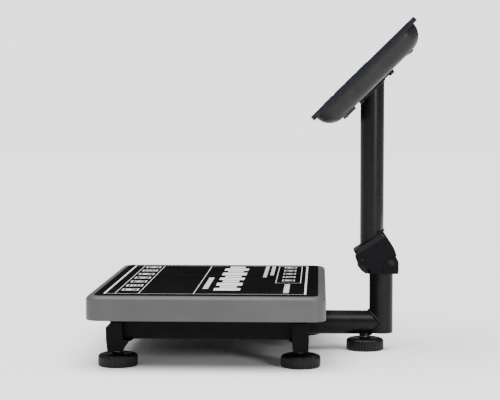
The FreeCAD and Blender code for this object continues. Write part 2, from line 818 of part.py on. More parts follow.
def lower_bracket():
    """The casting plugged into the post: a floor, two ears for the pivot bolt and a bore for the cable."""
    bracket = Piece("lower_bracket")
    radius = get("ear_radius")
    bracket.add_middle("YZ", [rectangle(bracket_nose, pivot_y + radius, get("post_top"), bracket_top)],
                       get("joint_wide"))
    bracket.fillet(6, along("Z"))
    bracket.add_middle("YZ", [rectangle(pivot_y - radius, pivot_y + radius, bracket_top - 2, pivot_z)],
                       get("joint_wide") - 1)
    bracket.add_middle("YZ", [Circle(pivot_y, pivot_z, radius)], get("joint_wide") - 1)
    gap = rectangle(pivot_y - radius - 1, pivot_y + radius + 1, bracket_top, pivot_z + radius + 1)
    bracket.cut_middle("YZ", [gap], ear_inside * 2)
    plug = get("tube_radius") - get("tube_wall") - get("tube_fit")
    bracket.add("XY", [Circle(0, post_y, plug)], get("post_top") - get("spigot_long"), get("spigot_long"))
    bracket.cut("XY", [Circle(0, post_y, get("cable_bore"))], get("post_top") - get("spigot_long") - 1,
                get("spigot_long") + get("bracket_floor") + 2)
    bracket.cut_middle("YZ", [Circle(pivot_y, pivot_z, pivot_bore)], get("joint_wide") + 2)
    seat = joint_half - PIVOT_HEAD_TALL - 0.5
    bracket.cut("YZ", [Circle(pivot_y, pivot_z, PIVOT_HEAD + 0.5)], seat, 6)
    bracket.cut("YZ", [Circle(pivot_y, pivot_z, NUT_RADIUS + 0.5)], -6 - seat, 6)


def pivot_bolt():
    """The bolt that the mast folds on, and its nut, each let into the side of its ear."""
    seat = joint_half - PIVOT_HEAD_TALL - 0.5
    screw = cap_screw("Pivot", (seat, pivot_y, pivot_z), (1, 0, 0), get("pivot_radius"), seat * 2 + 4.5,
                      PIVOT_HEAD, PIVOT_HEAD_TALL)
    screw.Label = "pivot_bolt"
    PIECES["pivot_bolt"] = screw
    nut = Piece("pivot_nut")
    corners = []
    for turn in range(6):
        angle = as_size(60.0 * turn)
        corners.append((pivot_y + cosine(angle) * NUT_RADIUS, pivot_z + sine(angle) * NUT_RADIUS))
    nut.add("YZ", [corners, Circle(pivot_y, pivot_z, get("pivot_radius") + 0.02)], -2.5 - seat, 2.5)


def on_slope(along_slope, off_slope):
    """A point of the side view given along and square to the sloped flange."""
    along_slope, off_slope = as_size(along_slope), as_size(off_slope)
    return (mast_y + along_slope * cosine(slope) - off_slope * sine(slope),
            get("flange_high") + along_slope * sine(slope) + off_slope * cosine(slope))


FLANGE = (0, mast_y, get("flange_high"))
FLANGE_SCREW_LONG = 7.0
FLANGE_SCREW_SEAT = -3.2
SCREW_HEAD = 3.6
SCREW_HOLE = 2.55
CABLE_WAY = 60.0
pin_y = post_y - get("tube_radius") - get("lever_pin_ahead")
pin_z = pivot_z + get("lever_pin_rise")


def upper_casting():
    """The casting under the mast: a knuckle between the ears, a sloped flange and cheeks for the lever."""
    gap, radius, thick = get("joint_gap"), get("ear_radius"), get("flange_thick")
    clear = radius + gap
    floor = bracket_top + gap
    back = pivot_y + 6.8
    casting = Piece("casting_blank")
    outline = [
        (bracket_nose + 0.4, floor),
        (bracket_nose + 0.4, pin_z - 9),
        (pin_y - 2, pin_z - 6.5),
        (pin_y - 6.2, pin_z - 1),
        on_slope(-get("flange_front"), -(thick + 2.5)),
        on_slope(-get("flange_front"), -thick),
        on_slope(get("flange_rear"), -thick),
        (pivot_y + 3.8, pivot_z + 20.3),
        (back, pivot_z + clear + 2),
        (back, pivot_z),
        (pivot_y - clear, pivot_z),
        (pivot_y - clear, floor),
    ]
    casting.add_middle("YZ", [outline], get("joint_wide"))
    casting.fillet(2, lambda edge: along("X")(edge) and edge.BoundBox.ZMin > pivot_z.value + 19
                   and edge.BoundBox.YMin > pivot_y.value - 1)
    knuckle = get("pivot_rise") - get("bracket_floor") - gap
    for side in (-1, 1):
        start = ear_inside - gap if side > 0 else gap - ear_inside - 20
        room = rectangle(pivot_y, pivot_y + 20, pivot_z - 1, pivot_z + clear)
        casting.cut("YZ", [room], start, 20)
        casting.cut("YZ", [Circle(pivot_y, pivot_z, clear)], start, 20)
    casting.add_middle("YZ", [Circle(pivot_y, pivot_z, knuckle)], (ear_inside - gap) * 2)
    web = rectangle(pivot_y - radius - 1, pivot_y, floor + 5, pivot_z + 2)
    casting.add_middle("YZ", [web], (ear_inside - gap) * 2)
    room = rectangle(pin_y - 25, bracket_nose + 0.8, floor - 8, pin_z + 8)
    casting.cut_middle("YZ", [room], get("lever_wide") + 1)
    casting.cut_middle("YZ", [Circle(pivot_y, pivot_z, pivot_bore)], get("joint_wide") + 2)
    casting.cut_middle("YZ", [Circle(pin_y, pin_z, get("lever_pin_radius") + 0.02)], get("joint_wide") + 2)
    casting.cut("XY", [Circle(0, mast_y + 4, get("cable_bore"))], floor + 4, CABLE_WAY)
    drill_end = FLANGE_SCREW_SEAT - FLANGE_SCREW_LONG - 0.5
    drills = [cylinder("Drill", SCREW_HOLE, FLANGE_SCREW_LONG + 1, (across, up, drill_end))
              for across, up in flange_screw_spots()]
    drilled = doc.addObject("Part::Cut", "Drilled")
    drilled.Base, drilled.Tool = casting.body, tilted(drills, FLANGE, slope)
    drilled.Label = "upper_casting"
    PIECES["upper_casting"] = drilled
    del PIECES["casting_blank"]


def release_lever():
    """The sprung lever at the front of the joint, with two finger hollows down its face."""
    lever = Piece("release_lever")
    outline = [
        (pin_y + 5.6, pin_z + 5.5),
        (pin_y - 4.2, pin_z + 5.3),
        (pin_y - 8.6, pin_z + 3.6),
        (pin_y - 9.2, pin_z + 2.2),
        (pin_y - 5.6, pin_z - 6.3),
        (pin_y - 6.2, pin_z - 8.6),
        (pin_y - 0.8, pin_z - 15.3),
        (pin_y + 5, pin_z - 19.3),
        (pin_y + 7.2, pin_z - 19),
        (pin_y + 7.4, pin_z - 10),
        (pin_y + 7.4, pin_z + 1.5),
    ]
    lever.add_middle("YZ", [outline], get("lever_wide"))
    lever.cut_middle("YZ", [Circle(pin_y, pin_z, get("lever_pin_radius") + get("pivot_fit"))],
                     get("lever_wide") + 2)
    lever.cut_middle("YZ", [rectangle(pin_y - 3.6, pin_y + 9, pin_z - 3.6, pin_z + 7)], 8.6)


def lever_pin():
    """The pin that the lever turns on, held in the casting's cheeks."""
    pin = cylinder("lever_pin", get("lever_pin_radius"), get("joint_wide") - 1,
                   ((1 - get("joint_wide")) / 2, pin_y, pin_z), (1, 0, 0))
    pin.Label = "lever_pin"
    PIECES["lever_pin"] = pin


def lever_spring():
    """The torsion spring round the pin, as the sleeve that its turns fill."""
    spring = Piece("lever_spring")
    pin = get("lever_pin_radius")
    spring.add_middle("YZ", [Circle(pin_y, pin_z, pin + 1.4), Circle(pin_y, pin_z, pin + 0.3)], 8)


# ---------------------------------------------------------------- mast


def post_flange():
    """The sloped plate welded to the foot of the mast and screwed down to the casting."""
    flange = Piece("post_flange", FLANGE, slope)
    thick = get("flange_thick")
    outline = rectangle(-joint_half, joint_half, -get("flange_front"), get("flange_rear"))
    flange.add("XY", [outline], -thick, thick)
    flange.fillet(4, along("Z"))
    holes = [Circle(across, up, SCREW_HOLE) for across, up in flange_screw_spots()]
    flange.cut("XY", holes, -thick - 1, thick + 2)
    seats = [Circle(across, up, SCREW_HEAD + 0.1) for across, up in flange_screw_spots()]
    flange.cut("XY", seats, FLANGE_SCREW_SEAT, 1 - FLANGE_SCREW_SEAT)
    flange.cut("XY", [Circle(0, 0, get("cable_bore"))], -thick - 1, thick + 2)


def flange_screw_spots():
    across = joint_half - 5
    ends = (9 - get("flange_front"), get("flange_rear") - 6)
    return [(across * side, up) for side in (-1, 1) for up in ends]


def tilted(members, place, angle):
    """Some solids kept together and laid on a sloping face at place."""
    inner = doc.addObject("Part::Compound", "Tilted")
    inner.Links = members
    inner.Placement = Placement(Vector(), Rotation(Vector(1, 0, 0), angle.value))
    inner.setExpression("Placement.Rotation.Angle", angle.formula)
    for letter, distance in zip("xyz", place):
        inner.setExpression(f"Placement.Base.{letter}", as_size(distance).formula)
    return inner


def tilted_screws(label, place, angle, spots, level, length, head_tall, axis=UP):
    """A set of screws standing on a sloping face, each placed along and across it."""
    made = [cap_screw(number, (across, along_face, level), axis, 2.5, length, SCREW_HEAD, head_tall)
            for number, (across, along_face) in enumerate(spots)]
    PIECES[label] = tilted(made, place, angle)
    PIECES[label].Label = label


def mast_tube():
    """The upright tube of the mast, cut to the flange's slope below and to the head's tilt above."""
    tilt = get("head_tilt")
    mast = Piece("upper_post")
    top = get("head_high") + get("tube_radius") * 3
    mast.add("XY", ring(0, mast_y), get("flange_high") - get("tube_radius"),
             top - get("flange_high") + get("tube_radius"))
    side = get("tube_radius") + 4
    low_front = get("flange_high") - side * tangent(slope)
    low_rear = get("flange_high") + side * tangent(slope)
    mast.cut_middle("YZ", [[(mast_y - side, low_front), (mast_y + side, low_rear),
                            (mast_y + side, get("post_top")), (mast_y - side, get("post_top"))]], side * 2)
    under = get("head_high") - get("plate_thick") / cosine(tilt)
    high_front, high_rear = under - side * tangent(tilt), under + side * tangent(tilt)
    mast.cut_middle("YZ", [[(mast_y - side, high_front), (mast_y + side, high_rear),
                            (mast_y + side, top + 10), (mast_y - side, top + 10)]], side * 2)


# ---------------------------------------------------------------- indicator head, in its own tilted frame

HEAD = (0, mast_y, get("head_high"))
tilt = get("head_tilt")
head_half = get("head_wide") / 2
shell_half = head_half - get("shell_inset")
shell_low = get("shell_inset") - get("head_below")
window_top = head_above - get("face_margin")
window_low = window_top - get("window_long")
keypad_low = get("face_margin") - get("head_below")
keypad_top = keypad_low + get("keypad_long")
switch_middle = get("switch_rise") - get("head_below")
board_low = get("board_level")
plate_half_wide = get("tube_radius") + get("plate_margin_side")
plate_half_long = get("tube_radius") / cosine(tilt) + get("plate_margin_long")


def head_back():
    """The rear shell of the head, drawn as a tray with broad rounded edges."""
    wall = get("shell_wall")
    shell = Piece("head_back", HEAD, tilt)
    corner, edge = get("shell_corner"), get("shell_round")
    shell.add("XY", [Rounded(-shell_half, shell_half, shell_low, shell_end, corner)], 0, shell_high)
    cavity = Rounded(wall - shell_half, shell_half - wall, shell_low + wall, shell_end - wall, corner - wall)
    shell.cut("XY", [cavity], wall, shell_high)
    shell.fillet(edge - wall, at_height(wall))
    shell.fillet(edge, at_height(as_size(0)))
    posts = [Circle(across, up, 4) for across, up in board_screw_spots()]
    shell.add("XY", posts, wall - 1, board_low - wall + 1)
    shell.cut("XY", [Circle(across, up, 1.6) for across, up in board_screw_spots()], wall + 1, board_low)
    shell.cut("XY", [switch_opening()], -1, wall + 2)
    shell.cut("XY", [Circle(-get("switch_side"), switch_middle, 6.05)], -1, wall + 2)
    shell.cut("XY", [Circle(across, up, SCREW_HOLE) for across, up in plate_screw_spots()], -1, wall + 2)
    shell.cut("XY", [Circle(0, 0, get("cable_bore"))], -1, wall + 2)


def board_screw_spots():
    across, up = get("board_wide") / 2 - 6, get("board_long") / 2 - 6
    return [(across * a, get("board_middle") + up * b) for a in (-1, 1) for b in (-1, 1)]


def plate_screw_spots():
    across, up = plate_half_wide - 4, plate_half_long - 4
    return [(across * a, get("plate_middle") + up * b) for a in (-1, 1) for b in (-1, 1)]


def switch_opening():
    long, wide = get("switch_long") / 2 - 1.5, get("switch_wide") / 2 - 1.5
    side = get("switch_side")
    return rectangle(side - wide, side + wide, switch_middle - long, switch_middle + long)


def head_bezel():
    """The front frame of the head, with a recess for the keypad and an opening for the window."""
    thick = get("bezel_thick")
    bezel = Piece("head_bezel", HEAD, tilt)
    bezel.add("XY", [rectangle(-head_half, head_half, -get("head_below"), head_above)], shell_high, thick)
    bezel.fillet(get("bezel_corner"), along("Z"))
    bezel.fillet(1.5, at_height(get("head_thick")))
    face = get("head_thick")
    wide = get("window_wide") / 2
    recess = rectangle(-wide, wide, window_low, window_top)
    bezel.cut("XY", [recess], face - get("window_thick"), get("window_thick") + 1)
    opening = rectangle(4 - wide, wide - 4, window_low + 4, window_top - 4)
    bezel.cut("XY", [opening], shell_high - 1, thick + 2)
    wide = get("keypad_wide") / 2
    recess = rectangle(-wide, wide, keypad_low, keypad_top)
    bezel.cut("XY", [recess], face - get("keypad_thick"), get("keypad_thick") + 1)


def flat_sheet(label, wide, low, high, level, thick, round_by):
    """A flat part of the head: a rounded rectangle of even thickness."""
    sheet_part = Piece(label, HEAD, tilt)
    sheet_part.add("XY", [rectangle(-wide, wide, low, high)], level, thick)
    if round_by:
        sheet_part.fillet(round_by, along("Z"))
    return sheet_part


def head_insides():
    """Window, keypad, display, board, battery and the plate that the mast is welded to."""
    flat_sheet("display_window", get("window_wide") / 2 - 0.1, window_low + 0.1, window_top - 0.1,
               get("head_thick") - get("window_thick"), get("window_thick"), 0)
    flat_sheet("keypad_overlay", get("keypad_wide") / 2 - 0.1, keypad_low + 0.1, keypad_top - 0.1,
               get("head_thick") - get("keypad_thick"), get("keypad_thick"), 0)
    flat_sheet("lcd_module", get("window_wide") / 2 - 6, window_low + 5, window_top - 5,
               board_low + get("board_thick"), 8, 1)
    reach_up = get("board_long") / 2
    board = flat_sheet("main_board", get("board_wide") / 2, get("board_middle") - reach_up,
                       get("board_middle") + reach_up, board_low, get("board_thick"), 2)
    board.cut("XY", [Circle(across, up, 1.65) for across, up in board_screw_spots()], board_low - 1,
              get("board_thick") + 2)
    battery = Piece("battery_pack", HEAD, tilt)
    battery.add("XY", [rectangle(-55, 55, 12, 44)], get("shell_wall"), 8)
    battery.fillet(2, along("X"))
    plate = flat_sheet("head_plate", plate_half_wide, get("plate_middle") - plate_half_long,
                       get("plate_middle") + plate_half_long, -get("plate_thick"), get("plate_thick"), 5)
    plate.cut("XY", [Circle(across, up, SCREW_HOLE) for across, up in plate_screw_spots()],
              -get("plate_thick") - 1, get("plate_thick") + 2)
    plate.cut("XY", [Circle(0, 0, get("cable_bore"))], -get("plate_thick") - 1, get("plate_thick") + 2)


SWITCH_PROUD = 3.4


def switch_and_socket():
    """The mains rocker and its case, the charger socket, the rubber bumpers and the cable grommet."""
    side, long, wide = get("switch_side"), get("switch_long") / 2, get("switch_wide") / 2
    case = Piece("switch_body", HEAD, tilt)
    rim = rectangle(side - wide, side + wide, switch_middle - long, switch_middle + long)
    case.add("XY", [rim], -SWITCH_PROUD, SWITCH_PROUD)
    case.fillet(1, along("Z"))
    case.add("XY", [rectangle(side - wide + 1.6, side + wide - 1.6, switch_middle - long + 1.6,
                              switch_middle + long - 1.6)], -0.5, 10.5)
    case.cut("XY", [rectangle(side - wide + 2.6, side + wide - 2.6, switch_middle - long + 2.6,
                              switch_middle + long - 2.6)], -1 - SWITCH_PROUD, 11)
    rocker = Piece("power_rocker", HEAD, tilt)
    outline = [
        (switch_middle - long + 4.1, 0.5),
        (switch_middle - long + 4.1, -4.4),
        (switch_middle, -1.9),
        (switch_middle + long - 4.1, -2.2),
        (switch_middle + long - 4.1, 0.5),
        (switch_middle, 3.5),
    ]
    rocker.add("YZ", [outline], side - wide + 2.9, wide * 2 - 5.8)
    socket = Piece("charger_socket", HEAD, tilt)
    middle = Circle(-side, switch_middle, 6)
    socket.add("XY", [middle], 0, 9)
    socket.add("XY", [Circle(-side, switch_middle, 7.5)], -1.5, 1.5)
    socket.cut("XY", [Circle(-side, switch_middle, 2.75)], -2, 9)
    grommet = Piece("cable_grommet", HEAD, tilt)
    grommet.add("XY", [Circle(0, 0, get("cable_bore") - 0.05), Circle(0, 0, 4.5)], -get("plate_thick"),
                get("plate_thick") + get("shell_wall"))
    bumper = Piece("rear_bumper", HEAD, tilt)
    flat_end = shell_end - get("shell_round")
    bumper.add("XY", [rectangle(-70, 70, flat_end - 6.8, flat_end - 0.8)], -2, 2)


# ---------------------------------------------------------------- build everything, check it and write it

platter_cover()
platter_film()
for corner, (across, depth) in FEET.items():
    foot_knob(corner, across, depth)
    foot_stud(corner, across, depth)
for end, facing in (("front", -1), ("rear", 1)):
    for hand, side in (("left", -1), ("right", 1)):
        leg(f"{end}_{hand}", side, leg_y[end], facing)
side_rail("rail_left", -1)
side_rail("rail_right", 1)
cross_beam("front_beam", beam_y["front"], False)
cross_beam("rear_beam", beam_y["rear"], True)
arm_socket()
base_plate()
load_cell()
cell_spacer("cell_spacer_lower", "rear", base_top)
cell_spacer("cell_spacer_upper", "front", cell_top)
load_spider()
small_parts()
bubble_level()
arm_tube()
arm_boss()
lower_post()
post_plug()
lower_bracket()
pivot_bolt()
upper_casting()
release_lever()
lever_pin()
lever_spring()
post_flange()
tilted_screws("flange_screws", FLANGE, slope, flange_screw_spots(), FLANGE_SCREW_SEAT,
              FLANGE_SCREW_LONG, 3)
mast_tube()
head_back()
head_bezel()
head_insides()
tilted_screws("plate_screws", HEAD, tilt, plate_screw_spots(), -get("plate_thick"),
              get("plate_thick") + get("shell_wall"), 2.4, DOWN)
switch_and_socket()
doc.recompute()

faults = [f"{thing.Label} is {', '.join(thing.State)}" for thing in doc.Objects
          if "Invalid" in thing.State or "Error" in thing.State]
for thing in doc.Objects:
    if thing.TypeId == "PartDesign::Pocket" and thing.BaseFeature is not None:
        if thing.Shape.Volume > thing.BaseFeature.Shape.Volume - SMALL:
            faults.append(f"{thing.Label} of {thing.getParentGeoFeatureGroup().Label} cuts nothing")
for label, thing in PIECES.items():
    if thing.Shape.isNull() or not thing.Shape.isValid() or not thing.Shape.Solids:
        faults.append(f"{label} has no valid solid")
if faults:
    raise RuntimeError("; ".join(faults))

os.makedirs("parts", exist_ok=True)
for label, thing in PIECES.items():
    thing.Shape.exportStep(f"parts/{label}.step")
print(f"{len(PIECES)} sub-parts written")
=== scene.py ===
"""A bench weighing scale with a folding mast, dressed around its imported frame."""
import json
import math

import bmesh
import bpy
import numpy as np
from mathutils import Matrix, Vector


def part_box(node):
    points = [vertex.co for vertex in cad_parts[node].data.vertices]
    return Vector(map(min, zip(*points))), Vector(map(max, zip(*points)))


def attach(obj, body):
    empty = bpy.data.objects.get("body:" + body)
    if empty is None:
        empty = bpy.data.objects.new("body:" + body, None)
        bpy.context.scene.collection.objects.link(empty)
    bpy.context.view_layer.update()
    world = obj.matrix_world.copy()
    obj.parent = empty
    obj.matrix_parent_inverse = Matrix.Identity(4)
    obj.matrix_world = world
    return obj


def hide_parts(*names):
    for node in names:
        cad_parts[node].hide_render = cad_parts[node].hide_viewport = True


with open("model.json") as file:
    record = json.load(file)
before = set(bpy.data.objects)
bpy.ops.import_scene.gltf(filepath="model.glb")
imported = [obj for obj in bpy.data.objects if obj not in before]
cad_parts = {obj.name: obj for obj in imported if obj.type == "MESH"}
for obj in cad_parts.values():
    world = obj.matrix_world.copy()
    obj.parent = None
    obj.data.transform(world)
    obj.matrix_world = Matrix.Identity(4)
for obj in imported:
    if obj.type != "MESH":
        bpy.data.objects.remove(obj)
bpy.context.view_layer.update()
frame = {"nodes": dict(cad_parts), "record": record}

MM = 0.001

# ---------------------------------------------------------------- levelling knobs
# Five black nylon knobs, moulded with finger flutes round the rim and a raised hub for the stud. The sole is
# hollowed so that the knob stands on its outer ring.

BODY_OF = {node: body for body, nodes in frame["record"]["behaviour"]["bodies"].items() for node in nodes}
CORNERS = ("front_left", "front_right", "rear_left", "rear_right", "arm")
FULL_TURN = 2 * math.pi
SHARP_ANGLE = math.radians(38)


def skin(name, rings, ends="fan"):
    """Joins rings of points, all closed loops of one count, each to the next. Ends: "fan" closes the first and
    last ring on their own middles, "loop" joins the last ring back to the first."""
    rings = np.asarray(rings, float)
    rows, count = rings.shape[:2]
    at = np.arange(rows * count).reshape(rows, count)
    here, there = (at, np.roll(at, -1, axis=0)) if ends == "loop" else (at[:-1], at[1:])
    quads = np.stack([here, np.roll(here, -1, axis=1), np.roll(there, -1, axis=1), there], axis=-1)
    points, faces = rings.reshape(-1, 3), quads.reshape(-1, 4).tolist()
    if ends == "fan":
        low, high = len(points), len(points) + 1
        points = np.vstack([points, rings[0].mean(axis=0), rings[-1].mean(axis=0)])
        following = np.roll(at, -1, axis=1)
        faces += [[low, b, a] for a, b in zip(at[0], following[0])]
        faces += [[high, a, b] for a, b in zip(at[-1], following[-1])]
    return piece(name, points, faces)


def piece(name, points, faces):
    """A mesh object with its faces turned outwards and its edges sharp only past SHARP_ANGLE."""
    mesh = bpy.data.meshes.new(name)
    mesh.from_pydata(np.asarray(points).tolist(), [], [[int(i) for i in face] for face in faces])
    work = bmesh.new()
    work.from_mesh(mesh)
    bmesh.ops.remove_doubles(work, verts=work.verts, dist=1e-7)
    bmesh.ops.recalc_face_normals(work, faces=work.faces)
    work.to_mesh(mesh)
    work.free()
    mesh.shade_smooth()
    mesh.set_sharp_from_angle(angle=SHARP_ANGLE)
    thing = bpy.data.objects.new(name, mesh)
    bpy.context.scene.collection.objects.link(thing)
    return thing


def fit(thing, finish, *nodes, rides=None):
    """Gives a new piece its finish and its body, and lets it stand for the named nodes of the frame."""
    thing.data.materials.clear()
    thing.data.materials.append(finish)
    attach(thing, rides or BODY_OF[nodes[0]])
    if nodes:
        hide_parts(*nodes)
    return thing


def centre_of(node):
    low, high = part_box(node)
    return (low + high) / 2


class Finish:
    """A material begun from object coordinates, with the few nodes that every finish here is mixed from."""

    def __init__(self, name, rough, metallic=0.0, specular=0.5, **sockets):
        self.material = bpy.data.materials.new(name)
        self.material.use_nodes = True
        self.nodes, self.links = self.material.node_tree.nodes, self.material.node_tree.links
        self.shader = self.nodes["Principled BSDF"]
        self.shader.inputs["Roughness"].default_value = rough
        self.shader.inputs["Metallic"].default_value = metallic
        self.shader.inputs["Specular IOR Level"].default_value = specular
        for socket, value in sockets.items():
            self.shader.inputs[socket.replace("_", " ")].default_value = value
        self.place = self.nodes.new("ShaderNodeTexCoord").outputs["Object"]

    def stretched(self, scale):
        """Object coordinates drawn out by a factor along each axis."""
        mapping = self.nodes.new("ShaderNodeMapping")
        mapping.inputs["Scale"].default_value = scale
        self.links.new(self.place, mapping.inputs["Vector"])
        return mapping.outputs["Vector"]

    def noise(self, size, detail=3.0, rough=0.55, vector=None):
        """A cloud whose features are about size metres across."""
        cloud = self.nodes.new("ShaderNodeTexNoise")
        cloud.inputs["Scale"].default_value = 1.0 / size
        cloud.inputs["Detail"].default_value = detail
        cloud.inputs["Roughness"].default_value = rough
        self.links.new(vector or self.place, cloud.inputs["Vector"])
        return cloud.outputs["Fac"]

    def cells(self, size):
        """Rounded cells about size metres across, as in a spark-eroded mould or an orange-peel coat."""
        grain = self.nodes.new("ShaderNodeTexVoronoi")
        grain.inputs["Scale"].default_value = 1.0 / size
        grain.feature = "SMOOTH_F1"
        self.links.new(self.place, grain.inputs["Vector"])
        return grain.outputs["Distance"]

    def spread(self, value, low, high, start=0.3, end=0.7):
        """Maps a cloud's middle range onto low..high."""
        change = self.nodes.new("ShaderNodeMapRange")
        change.inputs["From Min"].default_value = start
        change.inputs["From Max"].default_value = end
        change.inputs["To Min"].default_value = low
        change.inputs["To Max"].default_value = high
        self.links.new(value, change.inputs["Value"])
        return change.outputs["Result"]

    def colour(self, value, low, high, start=0.3, end=0.7):
        """Colours the surface between two colours as a cloud goes from start to end."""
        ramp = self.nodes.new("ShaderNodeValToRGB")
        ramp.color_ramp.elements[0].position = start
        ramp.color_ramp.elements[1].position = end
        ramp.color_ramp.elements[0].color = (*low, 1)
        ramp.color_ramp.elements[1].color = (*high, 1)
        self.links.new(value, ramp.inputs["Fac"])
        self.links.new(ramp.outputs["Color"], self.shader.inputs["Base Color"])
        return ramp.outputs["Color"]

    def roughen(self, value):
        self.links.new(value, self.shader.inputs["Roughness"])

    def bump(self, value, height, strength=1.0):
        """Raises the surface by height metres where the value is one."""
        raised = self.nodes.new("ShaderNodeBump")
        raised.inputs["Distance"].default_value = height
        raised.inputs["Strength"].default_value = strength
        self.links.new(value, raised.inputs["Height"])
        self.links.new(raised.outputs["Normal"], self.shader.inputs["Normal"])


def grained_plastic(name, dark, light, rough, grain, depth, specular=0.18):
    """Moulded plastic: even colour with faint clouding, a fine eroded grain and slightly uneven gloss."""
    finish = Finish(name, rough, specular=specular)
    finish.colour(finish.noise(18 * MM), dark, light)
    finish.roughen(finish.spread(finish.noise(7 * MM, 5), rough - 0.06, rough + 0.08))
    finish.bump(finish.cells(grain), depth, 0.6)
    return finish.material


foot_nylon = grained_plastic("foot_nylon", (0.0015, 0.0015, 0.002), (0.0035, 0.0035, 0.0042), 0.32, 0.5 * MM,
                             0.02 * MM, 0.22)
FLUTES = 40
FLUTE_DEPTH = 0.75 * MM
FLUTE_SHAPE = 1.6
KNOB_PROFILE = np.array([  # radius and height of the outline, and how deep the flutes run there, 0 to 1
    (10, 1.2, 0), (17.5, 1.2, 0), (18.5, 0.0, 0), (22.7, 0.0, 0), (24.1, 0.5, 0.4), (25, 1.8, 1), (25.2, 3, 1),
    (25.2, 7.5, 1), (25.2, 11.8, 1), (24.9, 13.2, 1), (24, 14.5, 0.8), (22.2, 15.6, 0.35), (19.4, 16.2, 0),
    (17.6, 16.45, 0), (17.1, 16.1, 0), (8.4, 16.1, 0), (8.0, 16.5, 0), (7.3, 17.4, 0), (6.9, 17.5, 0),
    (5.1, 17.5, 0)])


def fluted_knob(name, centre):
    """Radius = outline radius less depth times (0.5 - 0.5 cos(flutes x angle)) to the power FLUTE_SHAPE."""
    around = np.linspace(0, FULL_TURN, FLUTES * 8, endpoint=False)
    groove = (0.5 - 0.5 * np.cos(FLUTES * around)) ** FLUTE_SHAPE
    outline, height, share = KNOB_PROFILE.T
    radius = outline[:, None] * MM - FLUTE_DEPTH * share[:, None] * groove[None, :]
    level = np.repeat(height[:, None] * MM, len(around), axis=1)
    rings = np.stack([centre.x + radius * np.cos(around), centre.y + radius * np.sin(around), level], axis=-1)
    return skin(name, rings)


for corner in CORNERS:
    node = f"foot_knob_{corner}"
    fit(fluted_knob(f"knob_{corner}", centre_of(node)), foot_nylon, node)

# ---------------------------------------------------------------- threaded studs
# Zinc plated M10 studs that stand in the knobs and screw up into the legs and the arm's boss. The thread is
# rolled, and the upper end is chamfered.


def plated_steel(name, dark, light, rough, streak=(1, 1, 12)):
    """Zinc plate: cloudy silver with fine drawn streaks and uneven gloss."""
    finish = Finish(name, rough, metallic=1.0)
    finish.colour(finish.noise(5 * MM, 4), dark, light)
    streaks = finish.noise(0.5 * MM, 2, vector=finish.stretched(streak))
    finish.roughen(finish.spread(streaks, rough - 0.08, rough + 0.12))
    finish.bump(streaks, 0.01 * MM, 0.5)
    return finish.material


zinc_plate = plated_steel("zinc_plate", (0.42, 0.42, 0.41), (0.66, 0.66, 0.64), 0.34)
PITCH = 1.5 * MM
STUD_RADIUS = 5 * MM
THREAD_DEPTH = 0.85 * MM
CHAMFER_LONG = 1.4 * MM
CHAMFER_DEEP = 0.66 * MM


def threaded_stud(name, low, high):
    """Radius = major radius less a triangle wave of (height / pitch - turns), less the upper end's chamfer."""
    around = np.linspace(0, FULL_TURN, 28, endpoint=False)
    height = np.linspace(low.z, high.z, int((high.z - low.z) / PITCH * 9))
    phase = (height[:, None] / PITCH - around[None, :] / FULL_TURN) % 1.0
    depth = THREAD_DEPTH * np.abs(2 * phase - 1)
    chamfer = CHAMFER_DEEP * np.clip((height - high.z + CHAMFER_LONG) / CHAMFER_LONG, 0, 1)
    radius = STUD_RADIUS - depth - chamfer[:, None]
    middle = (low + high) / 2
    rings = np.stack([middle.x + radius * np.cos(around), middle.y + radius * np.sin(around),
                      np.repeat(height[:, None], len(around), axis=1)], axis=-1)
    return skin(name, rings)


for corner in CORNERS:
    node = f"foot_stud_{corner}"
    fit(threaded_stud(f"stud_{corner}", *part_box(node)), zinc_plate, node)

# ---------------------------------------------------------------- frame: legs, rails, beams, socket and plate
# A welded steel frame of box-section rails and cast corner legs, with the arm's socket in its rear beam. All
# of it is powder coated black after welding, so that its edges are soft and its skin is a fine orange peel.


def powder_coat(name, dark, light, rough, peel=0.9 * MM, depth=0.02 * MM, specular=0.07):
    """Powder coat: orange-peel bumps, faint clouds of shade and dust-dulled gloss."""
    finish = Finish(name, rough, specular=specular)
    finish.colour(finish.noise(24 * MM, 5), dark, light)
    finish.roughen(finish.spread(finish.noise(4 * MM, 6, 0.65), rough - 0.07, rough + 0.1))
    finish.bump(finish.cells(peel), depth, 0.7)
    return finish.material


black_coat = powder_coat("black_coat", (0.002, 0.002, 0.0025), (0.0045, 0.0045, 0.005), 0.46)


def softened(node, radius, finish, segments=3, angle=32):
    """The node's own shape with its corners rounded: merged, cleared of flat seams, then bevelled."""
    mesh = frame["nodes"][node].data.copy()
    work = bmesh.new()
    work.from_mesh(mesh)
    bmesh.ops.remove_doubles(work, verts=work.verts, dist=2e-6)
    bmesh.ops.dissolve_limit(work, angle_limit=math.radians(0.5), verts=work.verts, edges=work.edges)
    work.to_mesh(mesh)
    work.free()
    if mesh.has_custom_normals:
        mesh.normals_split_custom_set([(0, 0, 0)] * len(mesh.loops))
    mesh.shade_smooth()
    mesh.set_sharp_from_angle(angle=math.radians(angle))
    thing = bpy.data.objects.new(f"{node}_soft", mesh)
    bpy.context.scene.collection.objects.link(thing)
    bevel = thing.modifiers.new("Soft_edges", "BEVEL")
    bevel.width = radius
    bevel.segments = segments
    bevel.limit_method = "ANGLE"
    bevel.angle_limit = math.radians(angle)
    bevel.harden_normals = True
    return fit(thing, finish, node)


for node in ("leg_front_left", "leg_front_right", "leg_rear_left", "leg_rear_right"):
    softened(node, 1.3 * MM, black_coat)
for node in ("rail_left", "rail_right", "front_beam", "rear_beam", "arm_socket"):
    softened(node, 0.9 * MM, black_coat)
softened("base_plate", 0.7 * MM, black_coat)

# ---------------------------------------------------------------- load cell, spacers, spider, pads and stops
# A milled aluminium single-point cell between two zinc plated spacers. The cast spider on top of it carries
# four rubber pads for the cover, and cap screws hold it all and stop the spider short if it is overloaded.


